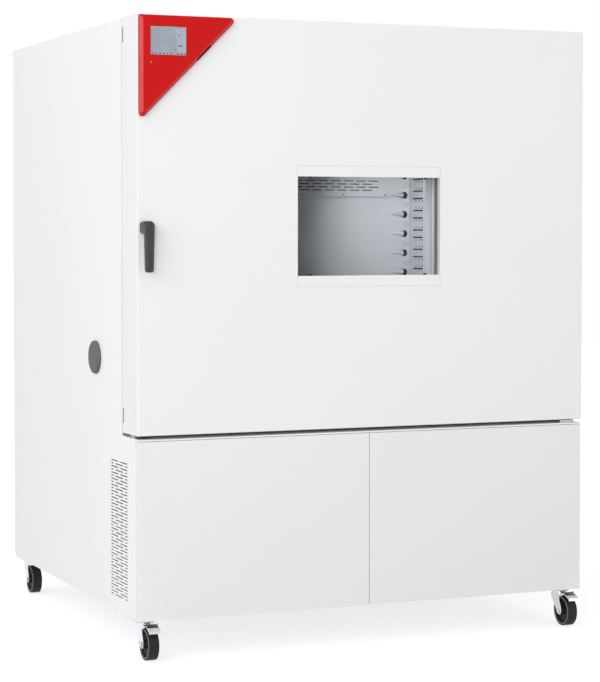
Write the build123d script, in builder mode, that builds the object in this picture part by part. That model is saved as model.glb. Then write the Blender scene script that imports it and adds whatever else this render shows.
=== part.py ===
"""Walk-in height environmental test chamber on casters, modelled in millimetres.

Frame: +Z up, the origin on the floor below the middle of the cabinet, the door facing -Y.
"""
import os

from build123d import *

os.makedirs("parts", exist_ok=True)

# Cabinet, driving sizes
cabinet_width = 1580
case_height = 1880
case_depth = 1435
caster_height = 125
rear_reach = 20
lower_height = 559
rail_thickness = 5
rail_gap = 1
door_clearance = 12
skin = 1.5
side_thickness = 4.5
deck_thickness = 3
return_depth = 40
panel_inset = 3
panel_split = 2

# Door, window and seal
door_thickness = 150
seal_gap = 10
door_edge_radius = 3
window_centre = 1227.5
window_width = 510
window_height = 387
window_lip = 2
window_bar = 35
window_frame_depth = 16
pane_thickness = 6
middle_pane_depth = 62
tunnel_wall = 2
tunnel_step_depth = 108
inner_window_margin = 35
seal_margin = 30
seal_width = 20
seal_clearance = 0.3
liner_step = 22
step_clearance = 22
slit_height = 46
slit_width = 11
slit_top = 1804
slit_bottom = 608

# Test space
chamber_width = 1200
chamber_height = 1020
frame_thickness = 12
duct_space = 20
baffle_depth = 931
plenum_depth = 200
insulation = 90
rib_pitch = 72
rib_width = 22
rib_height = 5
rib_reference = 1346
rib_end_gap = 20
rib_run = 640
nozzle_radius = 11
nozzle_tip = 1
nozzle_run = 66
nozzle_reach = 3
hole_size = 8
hole_pitch = 26.5
hole_columns = 3
hole_first = 52
hole_half_pair = 12.7
cover_half_width = 515
cover_bottom = 1339
cover_height = 376
cover_depth = 8
cover_slot = 40
cover_slot_height = 3.5
cover_slot_pitch = 51
cover_row_pitch = 11.35
cover_first_row = 24
cover_rows = 4

# Rack and shelf
upright_width = 75
upright_depth = 14
upright_rear = 795
upright_front = 250
shelf_level = 150
shelf_rim = 16
shelf_side_gap = 4

# Air intake grille in the left lower side
grille_front = 104
grille_width = 171
grille_bottom = 45
grille_rows = 44
grille_pitch = 10
grille_slot = 4
grille_gap = 14
grille_short = 30

# Access port
port_depth = 424
port_level = 800
port_bore = 80
port_wall = 2
plug_cap = 108
plug_proud = 13
plug_shank = 60
plug_clearance = 0.3

# Hinges
hinge_inset = 25
hinge_depth = 35
pin_radius = 8
pin_clearance = 0.05
bush_radius = 16
bush_length = 40
arm_half_width = 15
boss_radius = 12
arm_thickness = 8
arm_gap = 4
pocket_depth = 21
pocket_front_wall = 8

# Handle and latch
handle_inset = 24
handle_level = 1223
hub_width = 33
hub_height = 40
hub_depth = 36
lever_top_width = 32
lever_end_width = 26
lever_end_radius = 8
lever_length = 158
lever_thickness = 18
lever_bevel = 6
spindle_radius = 5
latch_orbit = 8
latch_pin_radius = 4
latch_disc_radius = 13
latch_disc_thickness = 3.5
latch_pin_length = 11
strike_hole_radius = 16
strike_height = 90
strike_thickness = 2
running_gap = 0.3

# Control panel
panel_leg = 324
panel_inset_edge = 3
panel_tip_radius = 8
panel_base = 12
panel_bevel_width = 6
panel_bevel_depth = 8
screen_width = 115.2
screen_height = 86.4
screen_left = 38
screen_top = 39
screen_recess = 2
lamp_left = 39
lamp_below = 149
lamp_radius = 3
port_slot_length = 66
port_slot_width = 4

# Casters
wheel_radius = 50
wheel_width = 36
caster_x = 746
caster_front = 59
caster_rear = 1366
caster_trail = 35
plate_length = 105
plate_width = 78
plate_thickness = 4
race_radius = 29
king_pin_radius = 6
axle_radius = 5
fork_gap = 3
fork_sheet = 3
pedal_pivot = 44
pedal_level = 107
pedal_pin = 3
pedal_sheet = 3
pedal_half = 19
pedal_reach = 92
ear_radius = 7

# Machinery
fan_radius = 160
fan_width = 70
fan_blades = 12
fan_level = 1525
fan_shaft_radius = 7
motor_radius = 90
motor_length = 150
cooler_fan_radius = 170
cooler_blades = 5
blade_pitch = 20
compressor_radius = 105
compressor_height = 330

# Derived places
half_width = cabinet_width / 2
inner_half = half_width - side_thickness
door_face = (hub_depth + lever_thickness - case_depth - rear_reach) / 2
door_back = door_face + door_thickness
frame_face = door_back + seal_gap
frame_back = frame_face + frame_thickness
rear_face = door_face + case_depth
case_bottom = caster_height
case_top = case_bottom + case_height
panel_top = case_bottom + lower_height
deck_top = panel_top + rail_gap
rail_top = deck_top + rail_thickness
door_bottom = rail_top + door_clearance
door_middle = (door_bottom + case_top) / 2
door_height = case_top - door_bottom
chamber_bottom = door_middle - chamber_height / 2
chamber_top = door_middle + chamber_height / 2
chamber_half = chamber_width / 2
liner_half = chamber_half + duct_space
baffle_face = door_face + baffle_depth
liner_back = baffle_face + plenum_depth
foam_back = liner_back + insulation
window_z = case_bottom + window_centre
pivot_x = half_width - hinge_inset
pivot_y = door_face + hinge_depth
handle_x = -half_width + handle_inset
handle_z = case_bottom + handle_level
port_y = door_face + port_depth
port_z = case_bottom + port_level
rib_levels = [
    case_bottom + rib_reference + rib_pitch * step
    for step in range(-20, 20)
    if chamber_bottom + rib_pitch / 2 < case_bottom + rib_reference + rib_pitch * step < chamber_top - rib_width
]


def facing_front(y):
    """Plane at depth y whose sketch axes are X and Z and whose extrusions run towards the front."""
    return Plane.XZ.offset(-y)


def block(x, y, z, mode=Mode.ADD):
    """Add or cut the block between two values on each axis in the part that is open."""
    with Locations(((x[0] + x[1]) / 2, (y[0] + y[1]) / 2, (z[0] + z[1]) / 2)):
        Box(x[1] - x[0], y[1] - y[0], z[1] - z[0], mode=mode)


def round_bar(start, axis, radius, length, mode=Mode.ADD):
    """Add or cut a round bar that runs from a point along an axis."""
    with Locations(Plane(origin=start, z_dir=axis)):
        Cylinder(radius, length, align=(Align.CENTER, Align.CENTER, Align.MIN), mode=mode)


def save(piece, name):
    """Label a finished piece and write it."""
    piece.part.label = name
    export_step(piece.part, f"parts/{name}.step")


# Base: a folded tray with stiffening channels that carries the machinery and the casters
tray_flange = 45
tray_sheet = 3
with BuildPart() as base_tray:
    tray_y = (door_face + return_depth, rear_face - skin)
    block((-inner_half, inner_half), tray_y, (case_bottom, case_bottom + tray_flange))
    block(
        (-inner_half + tray_sheet, inner_half - tray_sheet),
        (tray_y[0] + tray_sheet, tray_y[1] - tray_sheet),
        (case_bottom + tray_sheet, case_bottom + tray_flange),
        Mode.SUBTRACT,
    )
    for beam_x in (-inner_half / 3, inner_half / 3):
        block(
            (beam_x - 30, beam_x + 30),
            (tray_y[0] + tray_sheet, tray_y[1] - tray_sheet),
            (case_bottom + tray_sheet, case_bottom + tray_flange - 5),
        )
save(base_tray, "base_tray")

# Deck between the machinery and the insulated body
with BuildPart() as deck_plate:
    block(
        (-inner_half, inner_half),
        (door_face + return_depth, rear_face - skin),
        (deck_top - deck_thickness, deck_top),
    )
save(deck_plate, "deck_plate")

# Rounded rail under the door
with BuildPart() as top_rail:
    block(
        (-half_width + panel_inset, half_width - panel_inset),
        (door_face, frame_face),
        (deck_top, rail_top),
    )
    rail_edges = top_rail.edges().filter_by(Axis.X).group_by(Axis.Y)[0]
    fillet(rail_edges, rail_thickness * 0.45)
save(top_rail, "top_rail")


def lower_side(side):
    """Lower side sheet with its rounded rear corner; side is -1 for left and 1 for right."""
    outline_front = door_face + return_depth
    corner = 18
    with BuildPart() as sheet:
        with BuildSketch(Plane.YZ.offset(side * half_width)):
            with BuildLine():
                Polyline(
                    (outline_front, case_bottom),
                    (rear_face - corner, case_bottom),
                    (rear_face, case_bottom + corner),
                    (rear_face, deck_top),
                    (outline_front, deck_top),
                    close=True,
                )
            make_face()
        extrude(amount=-side * side_thickness)
        if side < 0:
            double_slot = (grille_width - grille_gap) / 2
            middle_slot = grille_width - 2 * (grille_short + grille_gap)
            grille_y = door_face + grille_front
            grille_z = case_bottom + grille_bottom + grille_pitch / 2
            with BuildSketch(Plane.YZ.offset(-half_width)):
                for row in range(grille_rows):
                    level = grille_z + row * grille_pitch
                    if row % 2:
                        runs = ((0, double_slot), (double_slot + grille_gap, grille_width))
                    else:
                        runs = (
                            (0, grille_short),
                            (grille_short + grille_gap, grille_short + grille_gap + middle_slot),
                            (grille_width - grille_short, grille_width),
                        )
                    for run_start, run_end in runs:
                        with Locations((grille_y + (run_start + run_end) / 2, level)):
                            Rectangle(run_end - run_start, grille_slot)
            extrude(amount=side_thickness, mode=Mode.SUBTRACT)
    return sheet


lower_side_left = lower_side(-1)
save(lower_side_left, "lower_side_left")
lower_side_right = lower_side(1)
save(lower_side_right, "lower_side_right")

# Lower rear sheet with the condenser outlet and the service holes
gland_x = -560
gland_z = case_bottom + 120
gland_radius = 14
drain_x = 520
drain_radius = 10
outlet_rows = 12
outlet_columns = 3
outlet_slot = 150
with BuildPart() as lower_rear_panel:
    block((-inner_half, inner_half), (rear_face - skin, rear_face), (case_bottom, deck_top))
    with BuildSketch(facing_front(rear_face)):
        with Locations((0, (case_bottom + deck_top) / 2 + 40)):
            with GridLocations(outlet_slot + 20, 20, outlet_columns, outlet_rows):
                Rectangle(outlet_slot, 8)
        with Locations((gland_x, gland_z)):
            Circle(gland_radius)
        with Locations((drain_x, gland_z)):
            Circle(drain_radius)
    extrude(amount=skin, mode=Mode.SUBTRACT)
save(lower_rear_panel, "lower_rear_panel")


def front_panel(side):
    """One lower front panel: a folded sheet with side returns and a top return."""
    outer = half_width - panel_inset
    with BuildPart() as panel:
        edges_x = sorted((side * outer, side * panel_split / 2))
        block(edges_x, (door_face, door_face + return_depth), (case_bottom, panel_top))
        block(
            (edges_x[0] + skin, edges_x[1] - skin),
            (door_face + skin, door_face + return_depth),
            (case_bottom, panel_top - skin),
            Mode.SUBTRACT,
        )
        upright_edges = panel.edges().filter_by(Axis.Z).group_by(Axis.Y)[0]
        fillet(upright_edges, skin * 0.9)
    return panel


front_panel_left = front_panel(-1)
save(front_panel_left, "front_panel_left")
front_panel_right = front_panel(1)
save(front_panel_right, "front_panel_right")


def upper_side(side):
    """Upper side sheet; the left one has the access port hole."""
    with BuildPart() as sheet:
        side_x = sorted((side * half_width, side * inner_half))
        block(side_x, (frame_face, rear_face), (deck_top, case_top))
        top_edge = sheet.edges().filter_by(Axis.Y).group_by(Axis.Z)[-1].sort_by(Axis.X)
        fillet(top_edge[0] if side < 0 else top_edge[-1], side_thickness / 2)
        if side < 0:
            hole_start = (-half_width, port_y, port_z)
            round_bar(hole_start, (1, 0, 0), port_bore / 2 + port_wall, side_thickness, Mode.SUBTRACT)
    return sheet


side_panel_left = upper_side(-1)
save(side_panel_left, "side_panel_left")
side_panel_right = upper_side(1)
save(side_panel_right, "side_panel_right")

# Rear and top sheets of the insulated body
with BuildPart() as rear_panel:
    block((-inner_half, inner_half), (rear_face - skin, rear_face), (deck_top, case_top - skin))
    with BuildSketch(facing_front(rear_face)):
        with Locations((0, case_bottom + fan_level)):
            with GridLocations(0, 16, 1, 8):
                Rectangle(180, 6)
    extrude(amount=skin, mode=Mode.SUBTRACT)
save(rear_panel, "rear_panel")
with BuildPart() as top_panel:
    block((-inner_half, inner_half), (frame_face, rear_face), (case_top - skin, case_top))
save(top_panel, "top_panel")

# Frame around the chamber mouth, with the round keeper recess for the latch
with BuildPart() as front_frame:
    with BuildSketch(facing_front(frame_back)):
        with Locations((0, (deck_top + case_top - skin) / 2)):
            Rectangle(2 * inner_half, case_top - skin - deck_top)
        with Locations((0, door_middle)):
            Rectangle(chamber_width, chamber_height, mode=Mode.SUBTRACT)
        with Locations((handle_x, handle_z)):
            Circle(strike_hole_radius, mode=Mode.SUBTRACT)
    extrude(amount=frame_thickness)
save(front_frame, "front_frame")

# Insulation round the test space, with the port bore and the fan shaft bore
shaft_hole_radius = fan_shaft_radius + 2
fan_z = case_bottom + fan_level
with BuildPart() as foam_body:
    block((-inner_half, inner_half), (frame_back, foam_back), (deck_top, case_top - skin))
    block(
        (-liner_half - skin, liner_half + skin),
        (frame_back, liner_back + skin),
        (chamber_bottom - skin, chamber_top + skin),
        Mode.SUBTRACT,
    )
    port_start = (-inner_half, port_y, port_z)
    port_run = inner_half - liner_half
    round_bar(port_start, (1, 0, 0), port_bore / 2 + port_wall, port_run, Mode.SUBTRACT)
    round_bar((0, liner_back, fan_z), (0, 1, 0), shaft_hole_radius, insulation, Mode.SUBTRACT)
save(foam_body, "foam_body")

# Stainless liner, open at the front
with BuildPart() as chamber_liner:
    block(
        (-liner_half - skin, liner_half + skin),
        (frame_back, liner_back + skin),
        (chamber_bottom - skin, chamber_top + skin),
    )
    block(
        (-liner_half, liner_half),
        (frame_back, liner_back),
        (chamber_bottom, chamber_top),
        Mode.SUBTRACT,
    )
    round_bar((-liner_half - skin, port_y, port_z), (1, 0, 0), port_bore / 2 + port_wall, skin, Mode.SUBTRACT)
    round_bar((0, liner_back, fan_z), (0, 1, 0), shaft_hole_radius, skin, Mode.SUBTRACT)
save(chamber_liner, "chamber_liner")

# Access port tube through the left wall
with BuildPart() as port_tube:
    tube_length = half_width - chamber_half + rib_height
    tube_start = (-half_width, port_y, port_z)
    round_bar(tube_start, (1, 0, 0), port_bore / 2 + port_wall, tube_length)
    round_bar(tube_start, (1, 0, 0), port_bore / 2, tube_length, Mode.SUBTRACT)
save(port_tube, "port_tube")

# Silicone plug that pulls out to the left
with BuildPart() as port_plug:
    with BuildSketch(Plane.XY.offset(port_z)) as plug_profile:
        cap_inner = -half_width - running_gap
        cap_outer = -half_width - plug_proud
        shank_radius = port_bore / 2 - plug_clearance
        with BuildLine():
            Polyline(
                (cap_outer, port_y),
                (cap_outer, port_y + plug_cap / 2 - 8),
                (cap_outer + 3, port_y + plug_cap / 2 - 2),
                (cap_outer + 7, port_y + plug_cap / 2),
                (cap_inner, port_y + plug_cap / 2),
                (cap_inner, port_y + shank_radius),
                (-half_width + plug_shank - 6, port_y + shank_radius),
                (-half_width + plug_shank, port_y + shank_radius - 3),
                (-half_width + plug_shank, port_y),
                close=True,
            )
        make_face()
    revolve(axis=Axis((0, port_y, port_z), (1, 0, 0)))
save(port_plug, "port_plug")

# Rear wall of the test space: a sheet with the fan inlet and, at both edges, pressed half-cone air nozzles
baffle_sheet = 1.5
inlet_radius = fan_radius * 0.8
nozzle_end = chamber_half - rib_end_gap + nozzle_reach
with BuildPart() as rear_baffle:
    block((-liner_half, liner_half), (baffle_face, baffle_face + baffle_sheet), (chamber_bottom, chamber_top))
    round_bar((0, baffle_face, fan_z), (0, 1, 0), inlet_radius, baffle_sheet, Mode.SUBTRACT)
    for wall, mode in ((0, Mode.ADD), (baffle_sheet, Mode.SUBTRACT)):
        for side in (-1, 1):
            for level in rib_levels:
                root = (side * (nozzle_end - nozzle_run + 8 * wall), baffle_face, level)
                with Locations(Plane(origin=root, z_dir=(side, 0, 0))):
                    Cone(
                        nozzle_tip,
                        nozzle_radius - wall,
                        nozzle_run - 8 * wall,
                        align=(Align.CENTER, Align.CENTER, Align.MIN),
                        mode=mode,
                    )
    block(
        (-nozzle_end, nozzle_end),
        (baffle_face + baffle_sheet, baffle_face + nozzle_radius + 1),
        (chamber_bottom, chamber_top),
        Mode.SUBTRACT,
    )
save(rear_baffle, "rear_baffle")

# Slotted cover in front of the fan
with BuildPart() as fan_cover:
    cover_z = case_bottom + cover_bottom
    cover_face = baffle_face - cover_depth
    block(
        (-cover_half_width, cover_half_width),
        (cover_face, baffle_face),
        (cover_z, cover_z + cover_height),
    )
    block(
        (-cover_half_width + baffle_sheet, cover_half_width - baffle_sheet),
        (cover_face + baffle_sheet, baffle_face),
        (cover_z + baffle_sheet, cover_z + cover_height - baffle_sheet),
        Mode.SUBTRACT,
    )
    with BuildSketch(facing_front(cover_face + baffle_sheet)):
        slots_per_row = int(2 * (cover_half_width - cover_slot) / cover_slot_pitch)
        for row in range(cover_rows):
            stagger = cover_slot_pitch / 2 * (row % 2) - cover_slot_pitch / 4
            row_z = cover_z + cover_first_row + row * cover_row_pitch
            with Locations((stagger, row_z)):
                with GridLocations(cover_slot_pitch, 0, slots_per_row, 1):
                    Rectangle(cover_slot, cover_slot_height)
    extrude(amount=baffle_sheet, mode=Mode.SUBTRACT)
save(fan_cover, "fan_cover")


def side_duct(side):
    """Perforated side wall of the test space with pressed beads and a folded front edge."""
    wall_x = side * chamber_half
    front_y = frame_back
    with BuildPart() as duct:
        block(
            sorted((wall_x, wall_x + side * baffle_sheet)),
            (front_y, baffle_face),
            (chamber_bottom, chamber_top),
        )
        block(
            sorted((wall_x, side * liner_half)),
            (front_y, front_y + baffle_sheet),
            (chamber_bottom, chamber_top),
        )
        with BuildSketch(Plane.YZ.offset(wall_x)):
            for level in rib_levels:
                with Locations((baffle_face - rib_end_gap - rib_run / 2, level)):
                    SlotOverall(rib_run, rib_width)
        extrude(amount=-side * rib_height)
        with BuildSketch(Plane.YZ.offset(wall_x)):
            for level in rib_levels[:-1]:
                for offset_z in (-hole_half_pair, hole_half_pair):
                    for column in range(hole_columns):
                        hole_y = baffle_face - hole_first - column * hole_pitch
                        with Locations((hole_y, level + rib_pitch / 2 + offset_z)):
                            Rectangle(hole_size, hole_size)
        extrude(amount=side * baffle_sheet, mode=Mode.SUBTRACT)
        if side < 0:
            hole_x = wall_x - baffle_sheet
            hole_length = baffle_sheet + rib_height
            round_bar((hole_x, port_y, port_z), (1, 0, 0), port_bore / 2 + port_wall, hole_length, Mode.SUBTRACT)
    return duct


side_duct_left = side_duct(-1)
save(side_duct_left, "side_duct_left")
side_duct_right = side_duct(1)
save(side_duct_right, "side_duct_right")

# Four uprights that carry the shelf
with BuildPart() as rack_uprights:
    for side in (-1, 1):
        base_x = side * (chamber_half - rib_height)
        for rear_y in (door_face + upright_rear, door_face + upright_front + upright_width):
            with BuildSketch(Plane.XY.offset(chamber_bottom)):
                with BuildLine():
                    Polyline(
                        (base_x, rear_y),
                        (base_x, rear_y - upright_width),
                        (base_x - side * upright_depth, rear_y - upright_width + 4),
                        (base_x - side * upright_depth, rear_y - upright_width / 2 - 4),
                        (base_x - side * upright_depth / 2, rear_y - upright_width / 2),
                        (base_x - side * upright_depth, rear_y - upright_width / 2 + 8),
                        (base_x - side * upright_depth, rear_y - 12),
                        close=True,
                    )
                make_face()
            extrude(amount=chamber_height)
save(rack_uprights, "rack_uprights")

# Shelf: a folded tray with slots, resting on hooks in the uprights
with BuildPart() as shelf:
    shelf_half = chamber_half - rib_height - upright_depth - shelf_side_gap
    shelf_y = (door_face + upright_front - 20, door_face + upright_rear + 20)
    shelf_z = chamber_bottom + shelf_level
    block((-shelf_half, shelf_half), shelf_y, (shelf_z, shelf_z + shelf_rim))
    block(
        (-shelf_half + baffle_sheet, shelf_half - baffle_sheet),
        (shelf_y[0] + baffle_sheet, shelf_y[1] - baffle_sheet),
        (shelf_z, shelf_z + shelf_rim - baffle_sheet),
        Mode.SUBTRACT,
    )
    for side in (-1, 1):
        for rear_y in (door_face + upright_rear, door_face + upright_front + upright_width):
            hook_x = sorted((side * shelf_half, side * (shelf_half + shelf_side_gap)))
            block(hook_x, (rear_y - 30, rear_y - 14), (shelf_z, shelf_z + shelf_rim))
    with BuildSketch(Plane.XY.offset(shelf_z + shelf_rim)):
        with Locations((0, sum(shelf_y) / 2)):
            with GridLocations(180, 60, 6, 8):
                Rectangle(150, 16)
    extrude(amount=-baffle_sheet, mode=Mode.SUBTRACT)
save(shelf, "shelf")

# Circulation fan: a backward-curved wheel on its shaft
fan_back = liner_back - 40
blade_sheet = 3
with BuildPart() as circulation_fan:
    round_bar((0, fan_back - blade_sheet, fan_z), (0, 1, 0), fan_radius, blade_sheet)
    with BuildSketch(facing_front(fan_back - fan_width)):
        with Locations((0, fan_z)):
            Circle(fan_radius)
            Circle(inlet_radius, mode=Mode.SUBTRACT)
    extrude(amount=blade_sheet)
    with BuildSketch(facing_front(fan_back - blade_sheet)):
        with Locations((0, fan_z)):
            with PolarLocations(fan_radius * 0.8, fan_blades, start_angle=0):
                with Locations(Rotation(0, 0, 35)):
                    Rectangle(fan_radius * 0.36, blade_sheet)
    extrude(amount=fan_width - 2 * blade_sheet + blade_sheet)
    round_bar((0, fan_back - 30, fan_z), (0, 1, 0), 30, 30)
    shaft_length = foam_back - fan_back + 30
    round_bar((0, fan_back, fan_z), (0, 1, 0), fan_shaft_radius, shaft_length)
save(circulation_fan, "circulation_fan")

# Fan motor behind the insulation
with BuildPart() as fan_motor:
    with BuildSketch(Plane.YZ) as motor_profile:
        with BuildLine():
            Polyline(
                (foam_back, fan_z + fan_shaft_radius + pin_clearance),
                (foam_back, fan_z + motor_radius + 25),
                (foam_back + 6, fan_z + motor_radius + 25),
                (foam_back + 6, fan_z + motor_radius),
                (foam_back + motor_length - 20, fan_z + motor_radius),
                (foam_back + motor_length, fan_z + motor_radius - 15),
                (foam_back + motor_length, fan_z),
                (foam_back + 32, fan_z),
                (foam_back + 32, fan_z + fan_shaft_radius + pin_clearance),
                close=True,
            )
        make_face()
    revolve(axis=Axis((0, 0, fan_z), (0, 1, 0)))
save(fan_motor, "fan_motor")

# Evaporator: a finned block between two mounting plates
coil_half = 430
coil_front = baffle_face + 50
coil_back = coil_front + 90
coil_z = chamber_bottom + 90
coil_height = 260
coil_plate = 4
with BuildPart() as evaporator:
    block((-coil_half, coil_half), (coil_front, coil_back), (coil_z, coil_z + coil_height))
    for side in (-1, 1):
        plate_x = sorted((side * coil_half, side * (coil_half - coil_plate)))
        block(plate_x, (baffle_face + baffle_sheet, liner_back), (coil_z - 20, coil_z + coil_height + 90))
save(evaporator, "evaporator")

# Heater: straight rods between the mounting plates
heater_radius = 5
heater_pitch = 28
heater_z = coil_z + coil_height + 30
with BuildPart() as heater:
    for level in (heater_z, heater_z + heater_pitch):
        for depth in (coil_front + 20, coil_back - 20):
            rod_start = (coil_plate - coil_half, depth, level)
            round_bar(rod_start, (1, 0, 0), heater_radius, 2 * (coil_half - coil_plate))
save(heater, "heater")

# Machinery in the base
tray_floor = case_bottom + tray_sheet
beam_top = case_bottom + tray_flange - 5


# Hermetic compressor: a domed shell on a foot plate with a suction stub
compressor_x = -inner_half / 3
compressor_y = door_face + 480
with BuildPart() as compressor:
    shell_top = beam_top + compressor_height
    seam_level = beam_top + compressor_height / 2
    with BuildSketch(Plane.XZ.offset(-compressor_y)):
        with BuildLine():
            Polyline(
                (compressor_x, beam_top + 10),
                (compressor_x + compressor_radius - 16, beam_top + 10),
                (compressor_x + compressor_radius, beam_top + 40),
                (compressor_x + compressor_radius, seam_level),
                (compressor_x + compressor_radius + 6, seam_level),
                (compressor_x + compressor_radius + 6, seam_level + 16),
                (compressor_x + compressor_radius, seam_level + 16),
                (compressor_x + compressor_radius, shell_top - 50),
                (compressor_x + compressor_radius - 42, shell_top),
                (compressor_x, shell_top),
                close=True,
            )
        make_face()
    revolve(axis=Axis((compressor_x, compressor_y, 0), (0, 0, 1)))
    block(
        (compressor_x - compressor_radius, compressor_x + compressor_radius),
        (compressor_y - compressor_radius, compressor_y + compressor_radius),
        (beam_top, beam_top + 10),
    )
    stub_start = (compressor_x, compressor_y - compressor_radius - 40, shell_top - 100)
    round_bar(stub_start, (0, 1, 0), 9, 60)
save(compressor, "compressor")

# Condenser: coil block, fan ring and motor strut against the rear sheet
condenser_half = 290
condenser_back = rear_face - skin - tray_sheet - 10
condenser_front = condenser_back - 70
condenser_x = 0
condenser_z = (beam_top, beam_top + 420)
ring_depth = 60
cooler_z = sum(condenser_z) / 2
hub_radius = 45
with BuildPart() as condenser:
    block((-condenser_half, condenser_half), (condenser_front, condenser_back), condenser_z)
    block(
        (-condenser_half, condenser_half),
        (condenser_front - ring_depth, condenser_front),
        condenser_z,
    )
    ring_radius = cooler_fan_radius + 8
    round_bar((0, condenser_front, cooler_z), (0, -1, 0), ring_radius, ring_depth, Mode.SUBTRACT)
    round_bar((0, condenser_front, cooler_z), (0, -1, 0), hub_radius * 0.6, 12)
    round_bar((0, condenser_front - 12, cooler_z), (0, -1, 0), fan_shaft_radius, 30)
save(condenser, "condenser")

with BuildPart() as condenser_fan:
    with BuildSketch(facing_front(condenser_front - 16)):
        with Locations((0, cooler_z)):
            Circle(hub_radius)
    extrude(amount=34)
    for blade in range(cooler_blades):
        upright = Plane(origin=(0, condenser_front - 33, cooler_z), x_dir=(1, 0, 0), z_dir=(0, 0, 1))
        turned = upright.rotated((0, blade * 360 / cooler_blades, 0))
        with BuildSketch(turned.offset(hub_radius - 5)):
            Rectangle(88, 3, rotation=blade_pitch)
        extrude(amount=cooler_fan_radius - hub_radius - 8)
    fan_bore = fan_shaft_radius + pin_clearance
    round_bar((0, condenser_front - 12, cooler_z), (0, -1, 0), fan_bore, 31, Mode.SUBTRACT)
save(condenser_fan, "condenser_fan")

# Control cabinet
with BuildPart() as control_cabinet:
    cabinet_x = (inner_half / 3 - 40, inner_half - 60)
    cabinet_y = (door_face + 120, door_face + 420)
    block(cabinet_x, cabinet_y, (beam_top, beam_top + 420))
    lid_edges = control_cabinet.edges().filter_by(Axis.Z)
    fillet(lid_edges, 8)
save(control_cabinet, "control_cabinet")

# Cable gland and drain fitting through the lower rear sheet
with BuildPart() as rear_fittings:
    inner_y = rear_face - skin - 8
    for x, radius in ((gland_x, gland_radius), (drain_x, drain_radius)):
        round_bar((x, inner_y, gland_z), (0, 1, 0), radius, 8 + skin)
        with BuildSketch(facing_front(rear_face)):
            with Locations((x, gland_z)):
                RegularPolygon(radius + 6, 6)
        extrude(amount=-rear_reach / 2)
        round_bar((x, rear_face, gland_z), (0, 1, 0), radius - 2, rear_reach)
save(rear_fittings, "rear_fittings")

# Hinges
top_arm_z = case_top - pocket_depth + arm_gap
with BuildPart() as hinge_bracket_top:
    with BuildSketch(Plane.XY.offset(top_arm_z)):
        with Locations((pivot_x, pivot_y)):
            Circle(arm_half_width)
        with Locations((pivot_x, (pivot_y + frame_face) / 2)):
            Rectangle(2 * arm_half_width, frame_face - pivot_y)
    extrude(amount=arm_thickness)
    block(
        (pivot_x - 35, inner_half),
        (frame_face - 3, frame_face),
        (top_arm_z - 40, top_arm_z + arm_thickness),
    )
    pin_length = top_arm_z - (case_top - pocket_depth) + bush_length - 5
    round_bar((pivot_x, pivot_y, top_arm_z), (0, 0, -1), pin_radius, pin_length)
save(hinge_bracket_top, "hinge_bracket_top")

with BuildPart() as hinge_bracket_bottom:
    bracket_x = (pivot_x - 48, pivot_x - 3)
    block(bracket_x, (door_face + 16, door_face + 126), (rail_top, rail_top + arm_thickness))
    round_bar((pivot_x, pivot_y, rail_top), (0, 0, 1), boss_radius, arm_thickness)
    round_bar((pivot_x, pivot_y, rail_top), (0, 0, 1), pin_radius, door_clearance + bush_length - 5)
save(hinge_bracket_bottom, "hinge_bracket_bottom")

# Rest plate with a rubber ramp under the free corner of the door
with BuildPart() as door_rest:
    rest_x = (-half_width + panel_inset + 2, -half_width + 58)
    block(rest_x, (door_face + 8, door_face + 110), (rail_top, rail_top + 2))
    with BuildSketch(Plane.YZ.offset(rest_x[0] + 4)):
        with BuildLine():
            Polyline(
                (door_face + 50, rail_top + 2),
                (door_face + 62, rail_top + 8),
                (door_face + 95, rail_top + 8),
                (door_face + 95, rail_top + 2),
                close=True,
            )
        make_face()
    extrude(amount=16)
save(door_rest, "door_rest")

# Keeper plate round the latch recess
with BuildPart() as strike_plate:
    plate_half = half_width - side_thickness - abs(handle_x)
    with BuildSketch(facing_front(frame_face)):
        with Locations((handle_x, handle_z)):
            Rectangle(2 * plate_half, strike_height)
            Circle(strike_hole_radius, mode=Mode.SUBTRACT)
    extrude(amount=strike_thickness)
save(strike_plate, "strike_plate")

# Door: outer shell
inner_window_width = window_width + 2 * inner_window_margin
inner_window_height = window_height + 2 * inner_window_margin
pocket_floor = case_top - pocket_depth
step_half = chamber_half - step_clearance
step_bottom = chamber_bottom + step_clearance
step_top = chamber_top - step_clearance


def hinge_pocket():
    """Cut the corner pocket where the top hinge arm sits and swings out of the door."""
    block(
        (pivot_x - arm_half_width - 10, half_width),
        (door_face + pocket_front_wall, door_back),
        (pocket_floor, case_top),
        Mode.SUBTRACT,
    )


def bush_bores(radius):
    """Cut round bores for the two hinge bushes."""
    round_bar((pivot_x, pivot_y, door_bottom), (0, 0, 1), radius, bush_length, Mode.SUBTRACT)
    round_bar((pivot_x, pivot_y, pocket_floor), (0, 0, -1), radius, bush_length, Mode.SUBTRACT)


def slits():
    """Cut the two narrow slits near the rear edge of the free side."""
    for level in (slit_bottom, slit_top):
        block(
            (-half_width, -half_width + 12),
            (door_back - slit_width - 2 * skin, door_back - 2 * skin),
            (case_bottom + level, case_bottom + level + slit_height),
            Mode.SUBTRACT,
        )


with BuildPart() as door_shell:
    block((-half_width, half_width), (door_face, door_back - skin), (door_bottom, case_top))
    corner_edges = door_shell.edges().filter_by(Axis.Z).group_by(Axis.Y)[0]
    level_edges = door_shell.edges().filter_by(Axis.X).group_by(Axis.Y)[0]
    fillet(corner_edges + level_edges, door_edge_radius)
    block(
        (-half_width + skin, half_width - skin),
        (door_face + skin, door_back - skin),
        (door_bottom + skin, case_top - skin),
        Mode.SUBTRACT,
    )
    with BuildSketch(facing_front(door_face + skin)):
        with Locations((0, window_z)):
            Rectangle(window_width, window_height)
    extrude(amount=skin, mode=Mode.SUBTRACT)
    hinge_pocket()
    bush_bores(bush_radius)
    slits()
    round_bar((handle_x, door_face, handle_z), (0, 1, 0), spindle_radius + pin_clearance, skin, Mode.SUBTRACT)
save(door_shell, "door_shell")

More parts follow.
